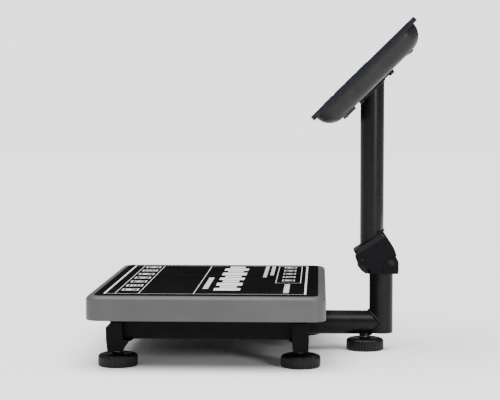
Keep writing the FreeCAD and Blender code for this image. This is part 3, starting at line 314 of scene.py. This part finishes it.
def milled_aluminium(name):
    """Anodised aluminium with the even lines of a milling cutter."""
    finish = Finish(name, 0.35, metallic=1.0)
    finish.colour(finish.noise(9 * MM), (0.60, 0.61, 0.63), (0.74, 0.75, 0.77))
    lines = finish.noise(0.8 * MM, 2, vector=finish.stretched((1, 0.08, 1)))
    finish.roughen(finish.spread(lines, 0.28, 0.46))
    finish.bump(lines, 0.01 * MM, 0.4)
    return finish.material


cell_metal = milled_aluminium("cell_metal")
soft_rubber = grained_plastic("soft_rubber", (0.010, 0.010, 0.010), (0.022, 0.022, 0.022), 0.75, 0.3 * MM,
                              0.03 * MM, 0.25)
black_screw = plated_steel("black_screw", (0.02, 0.02, 0.022), (0.05, 0.05, 0.052), 0.42)
softened("load_cell", 0.5 * MM, cell_metal)
softened("load_spider", 1.0 * MM, black_coat)
for node in ("cell_spacer_lower", "cell_spacer_upper"):
    softened(node, 0.4 * MM, zinc_plate)
for node in ("cell_bolts", "overload_stops", "socket_bolts"):
    softened(node, 0.35 * MM, zinc_plate, segments=2)
softened("spider_pads", 0.8 * MM, soft_rubber)

# ---------------------------------------------------------------- bubble level
# A round level on the base plate, seen with the platter off: a black cup that holds a glass of green fluid.

level_cup = grained_plastic("level_cup_plastic", (0.02, 0.02, 0.02), (0.03, 0.03, 0.03), 0.5, 0.4 * MM,
                            0.02 * MM)
softened("level_cup", 0.4 * MM, level_cup)
fluid = Finish("level_fluid", 0.06, Transmission_Weight=0.6, Coat_Weight=0.4)
fluid.colour(fluid.noise(6 * MM), (0.35, 0.62, 0.08), (0.50, 0.75, 0.16))
fluid.bump(fluid.noise(3 * MM), 0.01 * MM, 0.3)
softened("level_glass", 0.3 * MM, fluid.material, angle=50)

# ---------------------------------------------------------------- platter cover
# One pressing of sheet steel, open below: its corners and top edge are rounded over the punch, the lower edge
# is turned in as a hem, and it is baked with a satin grey paint.

COVER_CORNER = 20 * MM
COVER_EDGE = 6 * MM
COVER_WALL = 1.5 * MM
HEM = 1.6 * MM
COVER_FLAT = 4 * MM


def rounded_loop(low, high, radius, level, per_corner=12):
    """A closed loop round a rectangle: quarter circles of one radius about four centres, joined by the
    straight sides, each side divided evenly."""
    centres = [(high.x - radius, high.y - radius), (low.x + radius, high.y - radius),
               (low.x + radius, low.y + radius), (high.x - radius, low.y + radius)]
    corner = np.linspace(0, math.pi / 2, per_corner)
    arcs = []
    for quarter, (x, y) in enumerate(centres):
        turn = corner + quarter * math.pi / 2
        arcs.append(np.stack([x + radius * np.cos(turn), y + radius * np.sin(turn)], axis=-1))
    sides = []
    for arc, following in zip(arcs, arcs[1:] + arcs[:1]):
        share = np.linspace(0, 1, 10)[1:-1, None]
        sides += [arc, arc[-1] + (following[0] - arc[-1]) * share]
    flat = np.vstack(sides)
    return np.column_stack([flat, np.full(len(flat), level)])


def inset_loop(low, high, corner, inset, level):
    """The loop of a rectangle drawn in by inset, its corner radius drawn in with it."""
    shift = Vector((inset, inset, 0))
    return rounded_loop(low + shift, high - shift, max(corner - inset, 0.2 * MM), level)


def quarter(start, end, steps=7):
    """Points along a quarter of an ellipse from start to end, leaving start in the second direction."""
    turn = np.linspace(0, math.pi / 2, steps)
    first = start[0] + (end[0] - start[0]) * (1 - np.cos(turn))
    second = start[1] + (end[1] - start[1]) * np.sin(turn)
    return list(zip(first, second))


def satin_grey(name):
    """Baked satin paint on pressed steel: soft mottling, very fine peel, and rubbed lighter patches."""
    finish = Finish(name, 0.42, specular=0.3)
    finish.colour(finish.noise(60 * MM, 6, 0.6), (0.058, 0.058, 0.060), (0.073, 0.073, 0.075))
    finish.roughen(finish.spread(finish.noise(5 * MM, 6, 0.7), 0.37, 0.5))
    finish.bump(finish.cells(0.8 * MM), 0.012 * MM, 0.6)
    return finish.material


cover_low, cover_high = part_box("platter_cover")
profile = [(COVER_EDGE + COVER_FLAT, cover_high.z - COVER_WALL)]
profile += quarter((COVER_WALL, cover_high.z - COVER_EDGE), (COVER_EDGE, cover_high.z - COVER_WALL))[::-1]
profile += [(COVER_WALL, cover_low.z + 8 * MM), (COVER_WALL, cover_low.z + HEM)]
profile += [(HEM * 0.95, cover_low.z + 0.35 * MM), (HEM * 0.7, cover_low.z)]
profile += [(HEM * 0.35, cover_low.z + 0.12 * MM), (0.1 * MM, cover_low.z + 0.6 * MM), (0, cover_low.z + HEM)]
profile += [(0, cover_low.z + 8 * MM), (0, cover_low.z + 16 * MM)]
profile += quarter((0, cover_high.z - COVER_EDGE), (COVER_EDGE, cover_high.z), 9)
profile += [(COVER_EDGE + COVER_FLAT, cover_high.z)]
cover = skin("cover_pressing", [inset_loop(cover_low, cover_high, COVER_CORNER, inset, level)
                                for inset, level in profile])
cover_paint = satin_grey("cover_paint")
fit(cover, cover_paint, "platter_cover")

# ---------------------------------------------------------------- printed film on the platter
# A black polyester film bonded to the cover, printed in white with rules, plain bars and small signs. The film
# is a little proud of the paint and its edge is cut with round corners.

FILM_CORNER = 11 * MM
film_low, film_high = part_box("platter_film")
film_profile = [(0.3 * MM, film_low.z + 0.01 * MM), (0, film_low.z + 0.01 * MM), (0, film_high.z - 0.1 * MM)]
film_profile += [(0.1 * MM, film_high.z), (3 * MM, film_high.z)]
film = skin("film_sheet", [inset_loop(film_low, film_high, FILM_CORNER, inset, level)
                           for inset, level in film_profile])
film_black = Finish("film_black", 0.5, specular=0.0)
film_black.colour(film_black.noise(40 * MM, 6), (0.0035, 0.0035, 0.0038), (0.0065, 0.0065, 0.0068))
film_black.roughen(film_black.spread(film_black.noise(8 * MM, 7, 0.7), 0.42, 0.62))
film_black.bump(film_black.cells(0.35 * MM), 0.006 * MM, 0.5)
fit(film, film_black.material, "platter_film")

INK_THICK = 0.04 * MM
middle_y = (film_low.y + film_high.y) / 2
marks = []


def bar(x0, x1, y0, y1):
    """A printed bar between two widths and two depths, in millimetres from the platter's middle."""
    marks.append([(x0, y0), (x1, y0), (x1, y1), (x0, y1)])


def frame_of(x0, x1, y0, y1, line):
    """The four bars of an outlined box."""
    bar(x0, x1, y0, y0 + line)
    bar(x0, x1, y1 - line, y1)
    bar(x0, x0 + line, y0 + line, y1 - line)
    bar(x1 - line, x1, y0 + line, y1 - line)


def dashes(x0, x1, y0, y1, seed, unit):
    """A row of short plain dashes of uneven length between two widths."""
    lengths = np.random.default_rng(seed).uniform(0.5, 1.9, 80) * unit
    start = x0
    for length in lengths:
        if start + length > x1:
            break
        bar(start, start + length, y0, y1)
        start += length + unit * 0.55


def sign(x, y, size, kind):
    """A small plain sign in a frame: bars, a cross, a step or a block."""
    half_size, line = size / 2, size * 0.09
    frame_of(x - half_size, x + half_size, y - half_size, y + half_size, line)
    reach = half_size * 0.55
    if kind == 0:
        bar(x - reach, x + reach, y - line, y + line)
        bar(x - line, x + line, y - reach, y - line)
        bar(x - line, x + line, y + line, y + reach)
    elif kind == 1:
        for step in range(3):
            level = y - reach + step * reach * 0.8
            bar(x - reach, x + reach - step * reach * 0.4, level, level + line * 1.6)
    elif kind == 2:
        bar(x - reach, x + reach, y - reach, y + reach * 0.2)
        bar(x - reach * 0.4, x + reach * 0.4, y + reach * 0.2, y + reach)
    else:
        bar(x - reach, x - reach * 0.3, y - reach, y + reach)
        bar(x + reach * 0.1, x + reach, y - reach * 0.5, y + reach * 0.5)


bar(-178, 171, -129.5, -127)
bar(-178, 171, -115.6, -114.8)
bar(-178, 171, -86, -85.2)
bar(-178, 171, -16.6, -15.8)
bar(-178, 171, 122.6, 125.2)
bar(170, 171, -127, 122.6)
bar(-178, -177, -127, 122.6)
for number in range(7):
    sign(-155 + number * 47, -100.4, 21, number % 4)
dashes(-17, 118, -9, -2, 4, 5)
block_widths = [22, 30, 16, 34, 20, 28, 24, 32, 18, 26]
place = -168
for number, width in enumerate(block_widths):
    bar(place, place + width, 6 if number % 2 else 12, 40 if number % 2 else 34)
    place += width + 5.5
dashes(-172, -25, 64, 69, 7, 6)
dashes(-172, -45, 73, 78, 8, 6)
frame_of(-174, 45, 83, 117, 1.0)
for number in range(5):
    sign(-156 + number * 42, 100, 17, (number + 2) % 4)
dashes(60, 158, 96, 103, 9, 5)

corners = np.array(marks) * MM
corners[:, :, 1] += middle_y
INK_LOW, INK_HIGH = film_high.z + 0.005 * MM, film_high.z + INK_THICK
slabs = np.concatenate([np.dstack([corners, np.full(corners.shape[:2], level)])
                        for level in (INK_LOW, INK_HIGH)], axis=1)
first = np.arange(len(slabs))[:, None] * 8
sides = [[3, 2, 1, 0], [4, 5, 6, 7], [0, 1, 5, 4], [1, 2, 6, 5], [2, 3, 7, 6], [3, 0, 4, 7]]
print_faces = np.concatenate([first + np.array(side)[None, :] for side in sides])
ink = piece("film_print", slabs.reshape(-1, 3), print_faces)
white_ink = Finish("white_ink", 0.5, specular=0.3)
white_ink.colour(white_ink.noise(3 * MM, 6), (0.62, 0.62, 0.61), (0.80, 0.80, 0.79))
white_ink.bump(white_ink.noise(0.4 * MM, 4), 0.006 * MM, 0.5)
fit(ink, white_ink.material, rides="platter")

# ---------------------------------------------------------------- arm and lower post
# Two lengths of drawn steel tube, 32 mm across: the level arm is coped round the post and welded to it, and
# the post is open below, where a moulded plug closes it. Both are coated satin charcoal.

TUBE_RADIUS = 16 * MM
TUBE_INNER = 14 * MM
ARM_BEAD = 2.0 * MM
BEAD_RIPPLES = 60
post_low, post_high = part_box("lower_post")
post_y = (post_low.y + post_high.y) / 2
arm_low, arm_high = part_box("arm_tube")
arm_z = arm_high.z - TUBE_RADIUS
AROUND = np.linspace(0, FULL_TURN, 96, endpoint=False)
tube_coat = powder_coat("tube_coat", (0.0035, 0.0035, 0.004), (0.0065, 0.0065, 0.0072), 0.3, peel=0.7 * MM,
                        depth=0.012 * MM, specular=0.16)


def tube_rings(section, start, end, outer=TUBE_RADIUS, inner_radius=TUBE_INNER, rows=8):
    """Rings up the outside and back down the inside. Start and end give the cut's place for a point at
    (across, deep) of the section, so that a cut may slope or follow another tube."""
    rings = []
    ease = 0.4 * MM
    for radius, order in ((outer, 1), (inner_radius, -1)):
        across, deep = radius * np.cos(AROUND), radius * np.sin(AROUND)
        low, high = start(across, deep), end(across, deep)
        wall = []
        for share in np.linspace(0, 1, rows):
            wall.append(section(across, deep, low + ease + (high - low - 2 * ease) * share))
        near = (radius - ease * order) / radius
        wall.insert(0, section(across * near, deep * near, start(across * near, deep * near)))
        wall.append(section(across * near, deep * near, end(across * near, deep * near)))
        rings += wall[::order]
    return rings


def upright(y):
    """The section of an upright tube at depth y."""
    return lambda across, deep, level: np.stack([across, y + deep, level], axis=-1)


def level_at(height):
    return lambda across, deep: np.full(len(across), height)


lower = skin("lower_post_tube", tube_rings(upright(post_y), level_at(post_low.z), level_at(post_high.z)), "loop")
fit(lower, tube_coat, "lower_post")


def arm_section(across, deep, level):
    """The arm's section, its length running to the back."""
    return np.stack([across, level, arm_z + deep], axis=-1)


def coped(across, deep):
    """Where the arm meets the post: the post's middle less the height of its circle above this width."""
    return post_y - np.sqrt(np.maximum(TUBE_RADIUS ** 2 - across ** 2, 0))


arm = skin("arm_tube_coped", tube_rings(arm_section, level_at(arm_low.y), coped), "loop")
fit(arm, tube_coat, "arm_tube")


def weld_bead(name, path, radius, ripples):
    """A closed bead along a path: circles square to it, whose radius ripples as each drop of the weld cools."""
    path = np.asarray(path)
    ahead = np.roll(path, -1, axis=0) - np.roll(path, 1, axis=0)
    ahead /= np.linalg.norm(ahead, axis=1)[:, None]
    out = path - path.mean(axis=0)
    out -= (out * ahead).sum(axis=1)[:, None] * ahead
    out /= np.linalg.norm(out, axis=1)[:, None]
    up = np.cross(ahead, out)
    turn = np.linspace(0, FULL_TURN, 12, endpoint=False)
    size = radius * (1 + 0.13 * np.abs(np.sin(np.linspace(0, ripples * math.pi, len(path), endpoint=False))))
    rings = (path[:, None] + size[:, None, None] * (np.cos(turn)[None, :, None] * out[:, None]
                                                    + np.sin(turn)[None, :, None] * up[:, None]))
    return skin(name, rings, "loop")


bead_around = np.linspace(0, FULL_TURN, 240, endpoint=False)
across, deep = TUBE_RADIUS * np.cos(bead_around), TUBE_RADIUS * np.sin(bead_around)
arm_bead = weld_bead("arm_weld", arm_section(across, deep, coped(across, deep)), ARM_BEAD, BEAD_RIPPLES)
fit(arm_bead, tube_coat, rides="base")
softened("post_plug", 0.5 * MM, grained_plastic("plug_plastic", (0.012, 0.012, 0.012), (0.02, 0.02, 0.02), 0.55,
                                                0.5 * MM, 0.02 * MM))
softened("arm_boss", 0.4 * MM, tube_coat)

# ---------------------------------------------------------------- folding joint
# Two die castings in black enamel: the bracket on the post, and the casting under the mast that folds back on
# the pivot bolt. A sprung nylon lever stands at the front.

enamel = powder_coat("joint_enamel", (0.003, 0.003, 0.004), (0.0055, 0.0055, 0.0072), 0.42, peel=1.2 * MM,
                     depth=0.02 * MM)
lever_nylon = grained_plastic("lever_nylon", (0.004, 0.004, 0.005), (0.0075, 0.0075, 0.009), 0.42, 0.45 * MM,
                              0.02 * MM)
bright_zinc = plated_steel("bright_zinc", (0.45, 0.45, 0.45), (0.70, 0.70, 0.70), 0.28, (12, 1, 1))
softened("lower_bracket", 0.9 * MM, enamel)
softened("upper_casting", 1.1 * MM, enamel)
softened("release_lever", 1.0 * MM, lever_nylon)
black_zinc = plated_steel("black_zinc", (0.012, 0.012, 0.013), (0.035, 0.035, 0.037), 0.36, (12, 1, 1))
softened("pivot_bolt", 0.4 * MM, black_zinc, segments=2)
softened("pivot_nut", 0.3 * MM, black_zinc, segments=2)
softened("lever_pin", 0.3 * MM, black_zinc, segments=2)


def coil(name, low, high, wire):
    """A torsion spring: a wire circle carried along a helix about the pin."""
    middle = (low + high) / 2
    radius = (high.z - low.z) / 2 - wire
    turns = (high.x - low.x - 2 * wire) / (2.3 * wire)
    angle = np.linspace(0, turns * FULL_TURN, int(turns * 26))
    along = np.linspace(low.x + wire, high.x - wire, len(angle))
    wire_turn = np.linspace(0, FULL_TURN, 10, endpoint=False)
    reach = radius + wire * np.cos(wire_turn)[None, :]
    rings = np.stack([along[:, None] + wire * np.sin(wire_turn)[None, :],
                      middle.y + reach * np.cos(angle)[:, None],
                      middle.z + reach * np.sin(angle)[:, None]], axis=-1)
    return skin(name, rings)


fit(coil("lever_spring_coil", *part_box("lever_spring"), 0.45 * MM), bright_zinc, "lever_spring")

# ---------------------------------------------------------------- mast
# The upright tube, cut to the flange's slope below and to the head's tilt above, with the two plates welded on.
# The lower plate is screwed to the casting and the upper one to the back of the head.

SLOPE = math.radians(33)
TILT = math.radians(44.5)
FLANGE_HIGH = 151.8 * MM
HEAD_HIGH = 354.4 * MM
PLATE_THICK = 3 * MM
MAST_BEAD = 1.2 * MM
BEAD_LIFT = 0.6 * MM
mast_low, mast_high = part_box("upper_post")
mast_y = (mast_low.y + mast_high.y) / 2
plate_level = HEAD_HIGH - PLATE_THICK / math.cos(TILT)


def sloped(level, angle):
    """A cut through the mast's middle at level, rising to the back by angle."""
    return lambda across, deep: level + deep * math.tan(angle)


mast = skin("mast_tube", tube_rings(upright(mast_y), sloped(FLANGE_HIGH, SLOPE), sloped(plate_level, TILT)),
            "loop")
fit(mast, tube_coat, "upper_post")
for name, level, angle, lift in (("flange_weld", FLANGE_HIGH, SLOPE, BEAD_LIFT),
                                 ("plate_weld", plate_level, TILT, -BEAD_LIFT)):
    ring = np.stack([across, mast_y + deep, level + deep * math.tan(angle) + lift], axis=-1)
    bead = weld_bead(name, ring, MAST_BEAD, BEAD_RIPPLES)
    fit(bead, tube_coat, rides="mast")
softened("post_flange", 0.5 * MM, tube_coat)
softened("head_plate", 0.5 * MM, tube_coat)
for node in ("flange_screws", "plate_screws"):
    softened(node, 0.3 * MM, black_screw, segments=2)

# ---------------------------------------------------------------- head: rear shell
# The rear shell is one moulding in dark grained plastic: a shallow tray whose four sides curve over to a flat
# back. The grommet, switch, charger socket and bumper are let into that back.

HEAD_BELOW = 86.2 * MM
HEAD_ABOVE = 97.3 * MM
HEAD_HALF = 115 * MM
BEZEL_LEVEL = 23.3 * MM
FACE_LEVEL = 30 * MM
SHELL_INSET = 5 * MM
SHELL_CORNER = 24 * MM
ROUND_OVER = (24 * MM, 23.3 * MM)


def on_head(points):
    """Carries points from the head's own axes, across, up the face and out of it, to the tilted head."""
    points = np.asarray(points, float)
    across, up, out = points[..., 0], points[..., 1], points[..., 2]
    return np.stack([across, mast_y + up * math.cos(TILT) - out * math.sin(TILT),
                     HEAD_HIGH + up * math.sin(TILT) + out * math.cos(TILT)], axis=-1)


def head_grain(name, dark, light, rough):
    return grained_plastic(name, dark, light, rough, 0.55 * MM, 0.028 * MM, 0.2)


head_plastic = head_grain("head_plastic", (0.0095, 0.0095, 0.0105), (0.0145, 0.0145, 0.016), 0.44)
shell_low = Vector((SHELL_INSET - HEAD_HALF, SHELL_INSET - HEAD_BELOW, 0))
shell_high = Vector((HEAD_HALF - SHELL_INSET, HEAD_ABOVE - SHELL_INSET, 0))
deep_in, deep_down = ROUND_OVER
shell_profile = [(2 * MM, BEZEL_LEVEL), (0, BEZEL_LEVEL)]
shell_profile += [(deep_in * (1 - math.sqrt(1 - (down / deep_down) ** 2)), BEZEL_LEVEL - down)
                  for down in deep_down * np.sin(np.linspace(0.06, math.pi / 2, 16))]
shell_profile += [(deep_in + 6 * MM, 0)]


def shell_loop(inset, level):
    """The shell's outline drawn in by inset; its corners stay as round as the sides they join."""
    shift = Vector((inset, inset, 0))
    return rounded_loop(shell_low + shift, shell_high - shift, max(SHELL_CORNER - inset * 0.6, 4 * MM), level)


shell = skin("rear_shell", on_head([shell_loop(inset, level) for inset, level in shell_profile]))
fit(shell, head_plastic, "head_back")
bezel_plastic = head_grain("bezel_plastic", (0.0055, 0.006, 0.0105), (0.0085, 0.009, 0.015), 0.36)
softened("head_bezel", 0.6 * MM, bezel_plastic)
softened("cable_grommet", 0.4 * MM, soft_rubber)
softened("rear_bumper", 0.6 * MM, soft_rubber)
gloss_nylon = grained_plastic("switch_nylon", (0.008, 0.008, 0.008), (0.014, 0.014, 0.014), 0.3, 0.6 * MM,
                              0.008 * MM, 0.5)
softened("switch_body", 0.4 * MM, gloss_nylon)
softened("power_rocker", 0.5 * MM, gloss_nylon)
softened("charger_socket", 0.4 * MM, gloss_nylon)

# ---------------------------------------------------------------- head: display
# A reflective display under a clear window, in three fields. Each field shows four noughts, made of dark
# strokes, six to a nought.

clear = Finish("window_acrylic", 0.04, Transmission_Weight=0.92, IOR=1.49)
clear.colour(clear.noise(30 * MM), (0.86, 0.89, 0.90), (0.92, 0.94, 0.95))
clear.bump(clear.noise(6 * MM, 2), 0.004 * MM, 0.2)
softened("display_window", 0.3 * MM, clear.material, segments=2)
lcd = Finish("lcd_glass", 0.25)
lcd.colour(lcd.noise(25 * MM), (0.10, 0.13, 0.085), (0.13, 0.165, 0.105))
lcd.bump(lcd.cells(0.4 * MM), 0.004 * MM, 0.3)
softened("lcd_module", 0.4 * MM, lcd.material)
LCD_TOP = 26.6 * MM
LCD_MIDDLE = 64.3 * MM
NOUGHT = ((0, 1, True), (1, 0.5, False), (1, -0.5, False), (0, -1, True), (-1, -0.5, False), (-1, 0.5, False))
FIELDS, NOUGHTS = 3, 4
FIELD_LEFT, FIELD_PITCH = -66 * MM, 52 * MM
NOUGHT_WIDE, NOUGHT_HIGH, STROKE_WIDE = 6.5 * MM, 15 * MM, 1.5 * MM
NOUGHT_PITCH = NOUGHT_WIDE * 1.55


def stroke(x, y, flat):
    """One stroke of a nought: a thin bar pointed at both ends, flat or upright."""
    reach = (NOUGHT_WIDE if flat else NOUGHT_HIGH / 2) * 0.86 / 2
    nib = STROKE_WIDE / 2
    outline = np.array([(-reach, 0), (nib - reach, nib), (reach - nib, nib), (reach, 0), (reach - nib, -nib),
                        (nib - reach, -nib)])
    if not flat:
        outline = outline[:, ::-1]
    outline = outline + (x, y)
    return [np.column_stack([outline, np.full(6, level)]) for level in (LCD_TOP, LCD_TOP + 0.15 * MM)]


strokes = []
for field in range(FIELDS):
    for nought in range(NOUGHTS):
        middle = FIELD_LEFT + field * FIELD_PITCH + nought * NOUGHT_PITCH
        for side, rise, flat in NOUGHT:
            strokes.append(stroke(middle + side * NOUGHT_WIDE / 2, LCD_MIDDLE + rise * NOUGHT_HIGH / 2, flat))
ends = np.array(strokes).reshape(len(strokes), 12, 3)
hexagon = [list(range(5, -1, -1)), list(range(6, 12))]
hexagon_sides = [[i, (i + 1) % 6, 6 + (i + 1) % 6, 6 + i] for i in range(6)]
stroke_faces = [[number * 12 + i for i in face]
                for number in range(len(ends)) for face in hexagon + hexagon_sides]
digits = piece("display_strokes", on_head(ends.reshape(-1, 3)), stroke_faces)
lcd_dark = Finish("lcd_dark", 0.4)
lcd_dark.colour(lcd_dark.noise(2 * MM), (0.012, 0.016, 0.012), (0.02, 0.026, 0.02))
fit(digits, lcd_dark.material, rides="mast")

# ---------------------------------------------------------------- head: keypad
# A membrane keypad: one printed polyester sheet, embossed into low pillows over its switches. The keys in the
# middle are pale and carry the figures; the others are plain, blue but for one in red.

keypad_sheet = Finish("keypad_sheet", 0.5, specular=0.35)
keypad_sheet.colour(keypad_sheet.noise(30 * MM, 5), (0.016, 0.019, 0.026), (0.021, 0.025, 0.033))
keypad_sheet.roughen(keypad_sheet.spread(keypad_sheet.noise(5 * MM), 0.44, 0.56))
keypad_sheet.bump(keypad_sheet.cells(0.3 * MM), 0.01 * MM, 0.5)
softened("keypad_overlay", 0.15 * MM, keypad_sheet.material, segments=1)


def key_finish(name, dark, light):
    """Printed polyester in a key's colour, with a fine velvet texture."""
    finish = Finish(name, 0.52, specular=0.35)
    finish.colour(finish.noise(10 * MM, 4), dark, light)
    finish.bump(finish.cells(0.3 * MM), 0.01 * MM, 0.5)
    return finish.material


KEY_FINISHES = {"pale": key_finish("key_pale", (0.20, 0.205, 0.21), (0.26, 0.265, 0.27)),
                "blue": key_finish("key_blue", (0.008, 0.022, 0.075), (0.013, 0.032, 0.10)),
                "red": key_finish("key_red", (0.13, 0.010, 0.008), (0.17, 0.015, 0.012))}
KEY_WIDE, KEY_LONG, KEY_RISE, KEY_CORNER = 20 * MM, 16 * MM, 0.55 * MM, 3 * MM
KEY_PITCH = (24.5 * MM, 20.5 * MM)
KEY_ORIGIN = (-85.8 * MM, -55 * MM)
KEY_ROWS, KEY_COLUMNS = 4, 8
FIRST_PALE, LAST_PALE = 2, 4
RED_KEY = (3, 4)
LEGENDS = ["789", "456", "123", "0."]
key_parts = {colour: [] for colour in KEY_FINISHES}
key_labels = []
for row in range(KEY_ROWS):
    for column in range(KEY_COLUMNS):
        x = KEY_ORIGIN[0] + column * KEY_PITCH[0]
        y = KEY_ORIGIN[1] + (KEY_ROWS - 1 - row) * KEY_PITCH[1]
        colour = "pale" if FIRST_PALE <= column <= LAST_PALE else "blue"
        if (row, column) == RED_KEY:
            colour = "red"
        low, high = (Vector((x + sign_of * KEY_WIDE / 2, y + sign_of * KEY_LONG / 2, 0)) for sign_of in (-1, 1))
        key_profile = [(0, FACE_LEVEL), (0.1 * MM, FACE_LEVEL + 0.25 * MM), (0.5 * MM, FACE_LEVEL + 0.45 * MM),
                       (1.2 * MM, FACE_LEVEL + KEY_RISE), (3.0 * MM, FACE_LEVEL + KEY_RISE)]
        rings = [inset_loop(low, high, KEY_CORNER, inset, level) for inset, level in key_profile]
        key_parts[colour].append(np.array([ring[::2] for ring in rings]))
        if 0 <= column - FIRST_PALE < len(LEGENDS[row]):
            key_labels.append((LEGENDS[row][column - FIRST_PALE], x, y))


def joined_skins(name, sets):
    """Many like skins, each of the same rings, as one piece."""
    points, faces, offset = [], [], 0
    for rings in sets:
        rows, count = rings.shape[:2]
        at = np.arange(rows * count).reshape(rows, count) + offset
        quads = np.stack([at[:-1], np.roll(at[:-1], -1, axis=1), np.roll(at[1:], -1, axis=1), at[1:]], axis=-1)
        faces += quads.reshape(-1, 4).tolist() + [at[-1].tolist(), at[0, ::-1].tolist()]
        points.append(rings.reshape(-1, 3))
        offset += rows * count
    return piece(name, on_head(np.vstack(points)), faces)


for colour, sets in key_parts.items():
    keys = joined_skins(f"keys_{colour}", sets)
    fit(keys, KEY_FINISHES[colour], rides="mast")


LEGEND_SIZE = 8 * MM


def legend(text, x, y, size):
    """A raised figure, set on the head's face."""
    letters = bpy.data.curves.new("legend", "FONT")
    letters.body = text
    letters.size = size
    letters.extrude = 0.04 * MM
    letters.align_x = "CENTER"
    letters.align_y = "CENTER"
    source = bpy.data.objects.new("legend_source", letters)
    bpy.context.scene.collection.objects.link(source)
    bpy.context.view_layer.update()
    mesh = bpy.data.meshes.new_from_object(source)
    bpy.data.objects.remove(source)
    flat = np.zeros(len(mesh.vertices) * 3)
    mesh.vertices.foreach_get("co", flat)
    points = flat.reshape(-1, 3) + (x, y, FACE_LEVEL + KEY_RISE + 0.03 * MM)
    return points, [list(face.vertices) for face in mesh.polygons]


points, faces, offset = [], [], 0
for text, x, y in key_labels:
    shape, polygons = legend(text, x, y, LEGEND_SIZE)
    points.append(shape)
    faces += [[index + offset for index in polygon] for polygon in polygons]
    offset += len(shape)
legends = piece("key_figures", on_head(np.vstack(points)), faces)
fit(legends, lcd_dark.material, rides="mast")

# ---------------------------------------------------------------- head: board and battery
# The parts closed up inside the head: a green laminate board on the shell's four posts and a flat battery pack
# in a blue sleeve.

laminate = Finish("board_laminate", 0.35)
laminate.colour(laminate.noise(2.5 * MM, 2), (0.008, 0.07, 0.03), (0.02, 0.13, 0.055), 0.45, 0.55)
laminate.bump(laminate.noise(2.5 * MM, 2), 0.03 * MM, 0.5)
softened("main_board", 0.2 * MM, laminate.material, segments=1)
sleeve = Finish("battery_sleeve", 0.3)
sleeve.colour(sleeve.noise(8 * MM), (0.03, 0.06, 0.16), (0.05, 0.09, 0.22))
sleeve.bump(sleeve.noise(5 * MM, 2, vector=sleeve.stretched((1, 5, 5))), 0.1 * MM, 0.4)
softened("battery_pack", 0.8 * MM, sleeve.material)

# ---------------------------------------------------------------- studio
# A plain pale floor under a broad soft light from above, a white surround, and two soft boxes: one behind the
# camera to the operator's side and one towards the back of the scale.

FLOOR_HALF = 9
floor_corners = [(x * FLOOR_HALF, y * FLOOR_HALF, 0) for x, y in ((-1, -1), (1, -1), (1, 1), (-1, 1))]
floor = piece("studio_floor", floor_corners, [[0, 1, 2, 3]])
floor_paint = Finish("studio_floor_paint", 0.8, specular=0.0)
floor_paint.colour(floor_paint.noise(1.5), (0.90, 0.90, 0.90), (0.93, 0.93, 0.93))
floor.data.materials.append(floor_paint.material)

SURROUND_SEEN, SURROUND_LIGHT = 2.2, 0.22
world = bpy.data.worlds.new("studio")
world.use_nodes = True
surround = world.node_tree.nodes["Background"]
surround.inputs["Color"].default_value = (1, 1, 1, 1)
sight = world.node_tree.nodes.new("ShaderNodeLightPath")
brightness = world.node_tree.nodes.new("ShaderNodeMapRange")
brightness.inputs["To Min"].default_value = SURROUND_LIGHT
brightness.inputs["To Max"].default_value = SURROUND_SEEN
world.node_tree.links.new(sight.outputs["Is Camera Ray"], brightness.inputs["Value"])
world.node_tree.links.new(brightness.outputs["Result"], surround.inputs["Strength"])
bpy.context.scene.world = world


def lamp(name, place, target, size, power):
    """A square soft lamp at place, facing target."""
    light = bpy.data.lights.new(name, "AREA")
    light.shape = "SQUARE"
    light.size = size
    light.energy = power
    holder = bpy.data.objects.new(name, light)
    holder.location = place
    holder.rotation_euler = (Vector(target) - Vector(place)).to_track_quat("-Z", "Y").to_euler()
    bpy.context.scene.collection.objects.link(holder)


skylight = bpy.data.lights.new("skylight", "SUN")
skylight.energy = 7.2
skylight.angle = math.radians(70)
skylight_holder = bpy.data.objects.new("skylight", skylight)
skylight_holder.rotation_euler = (0, math.radians(12), 0)
bpy.context.scene.collection.objects.link(skylight_holder)
lamp("lamp_back", (1.55, 1.1, 0.55), (0, 0.1, 0.25), 0.4, 14)
lamp("lamp_front", (1.9, -1.2, 0.8), (0, 0, 0.1), 0.9, 4)

SENSOR_WIDE, LENS = 36, 112.3
CAMERA_SIDE, CAMERA_BEHIND, CAMERA_HIGH = 2109 * MM, 142 * MM, 327 * MM
platter_y = (cover_low.y + cover_high.y) / 2
camera_data = bpy.data.cameras.new("camera")
camera_data.sensor_width = SENSOR_WIDE
camera_data.lens = LENS
camera_data.clip_end = 50
camera = bpy.data.objects.new("camera", camera_data)
camera.location = (CAMERA_SIDE, platter_y + CAMERA_BEHIND, CAMERA_HIGH)
yaw, pitch = math.radians(2.57), math.radians(3.37)
forward = Vector((-math.cos(pitch) * math.cos(yaw), -math.cos(pitch) * math.sin(yaw), -math.sin(pitch)))
camera.rotation_euler = forward.to_track_quat("-Z", "Y").to_euler()
bpy.context.scene.collection.objects.link(camera)
bpy.context.scene.camera = camera
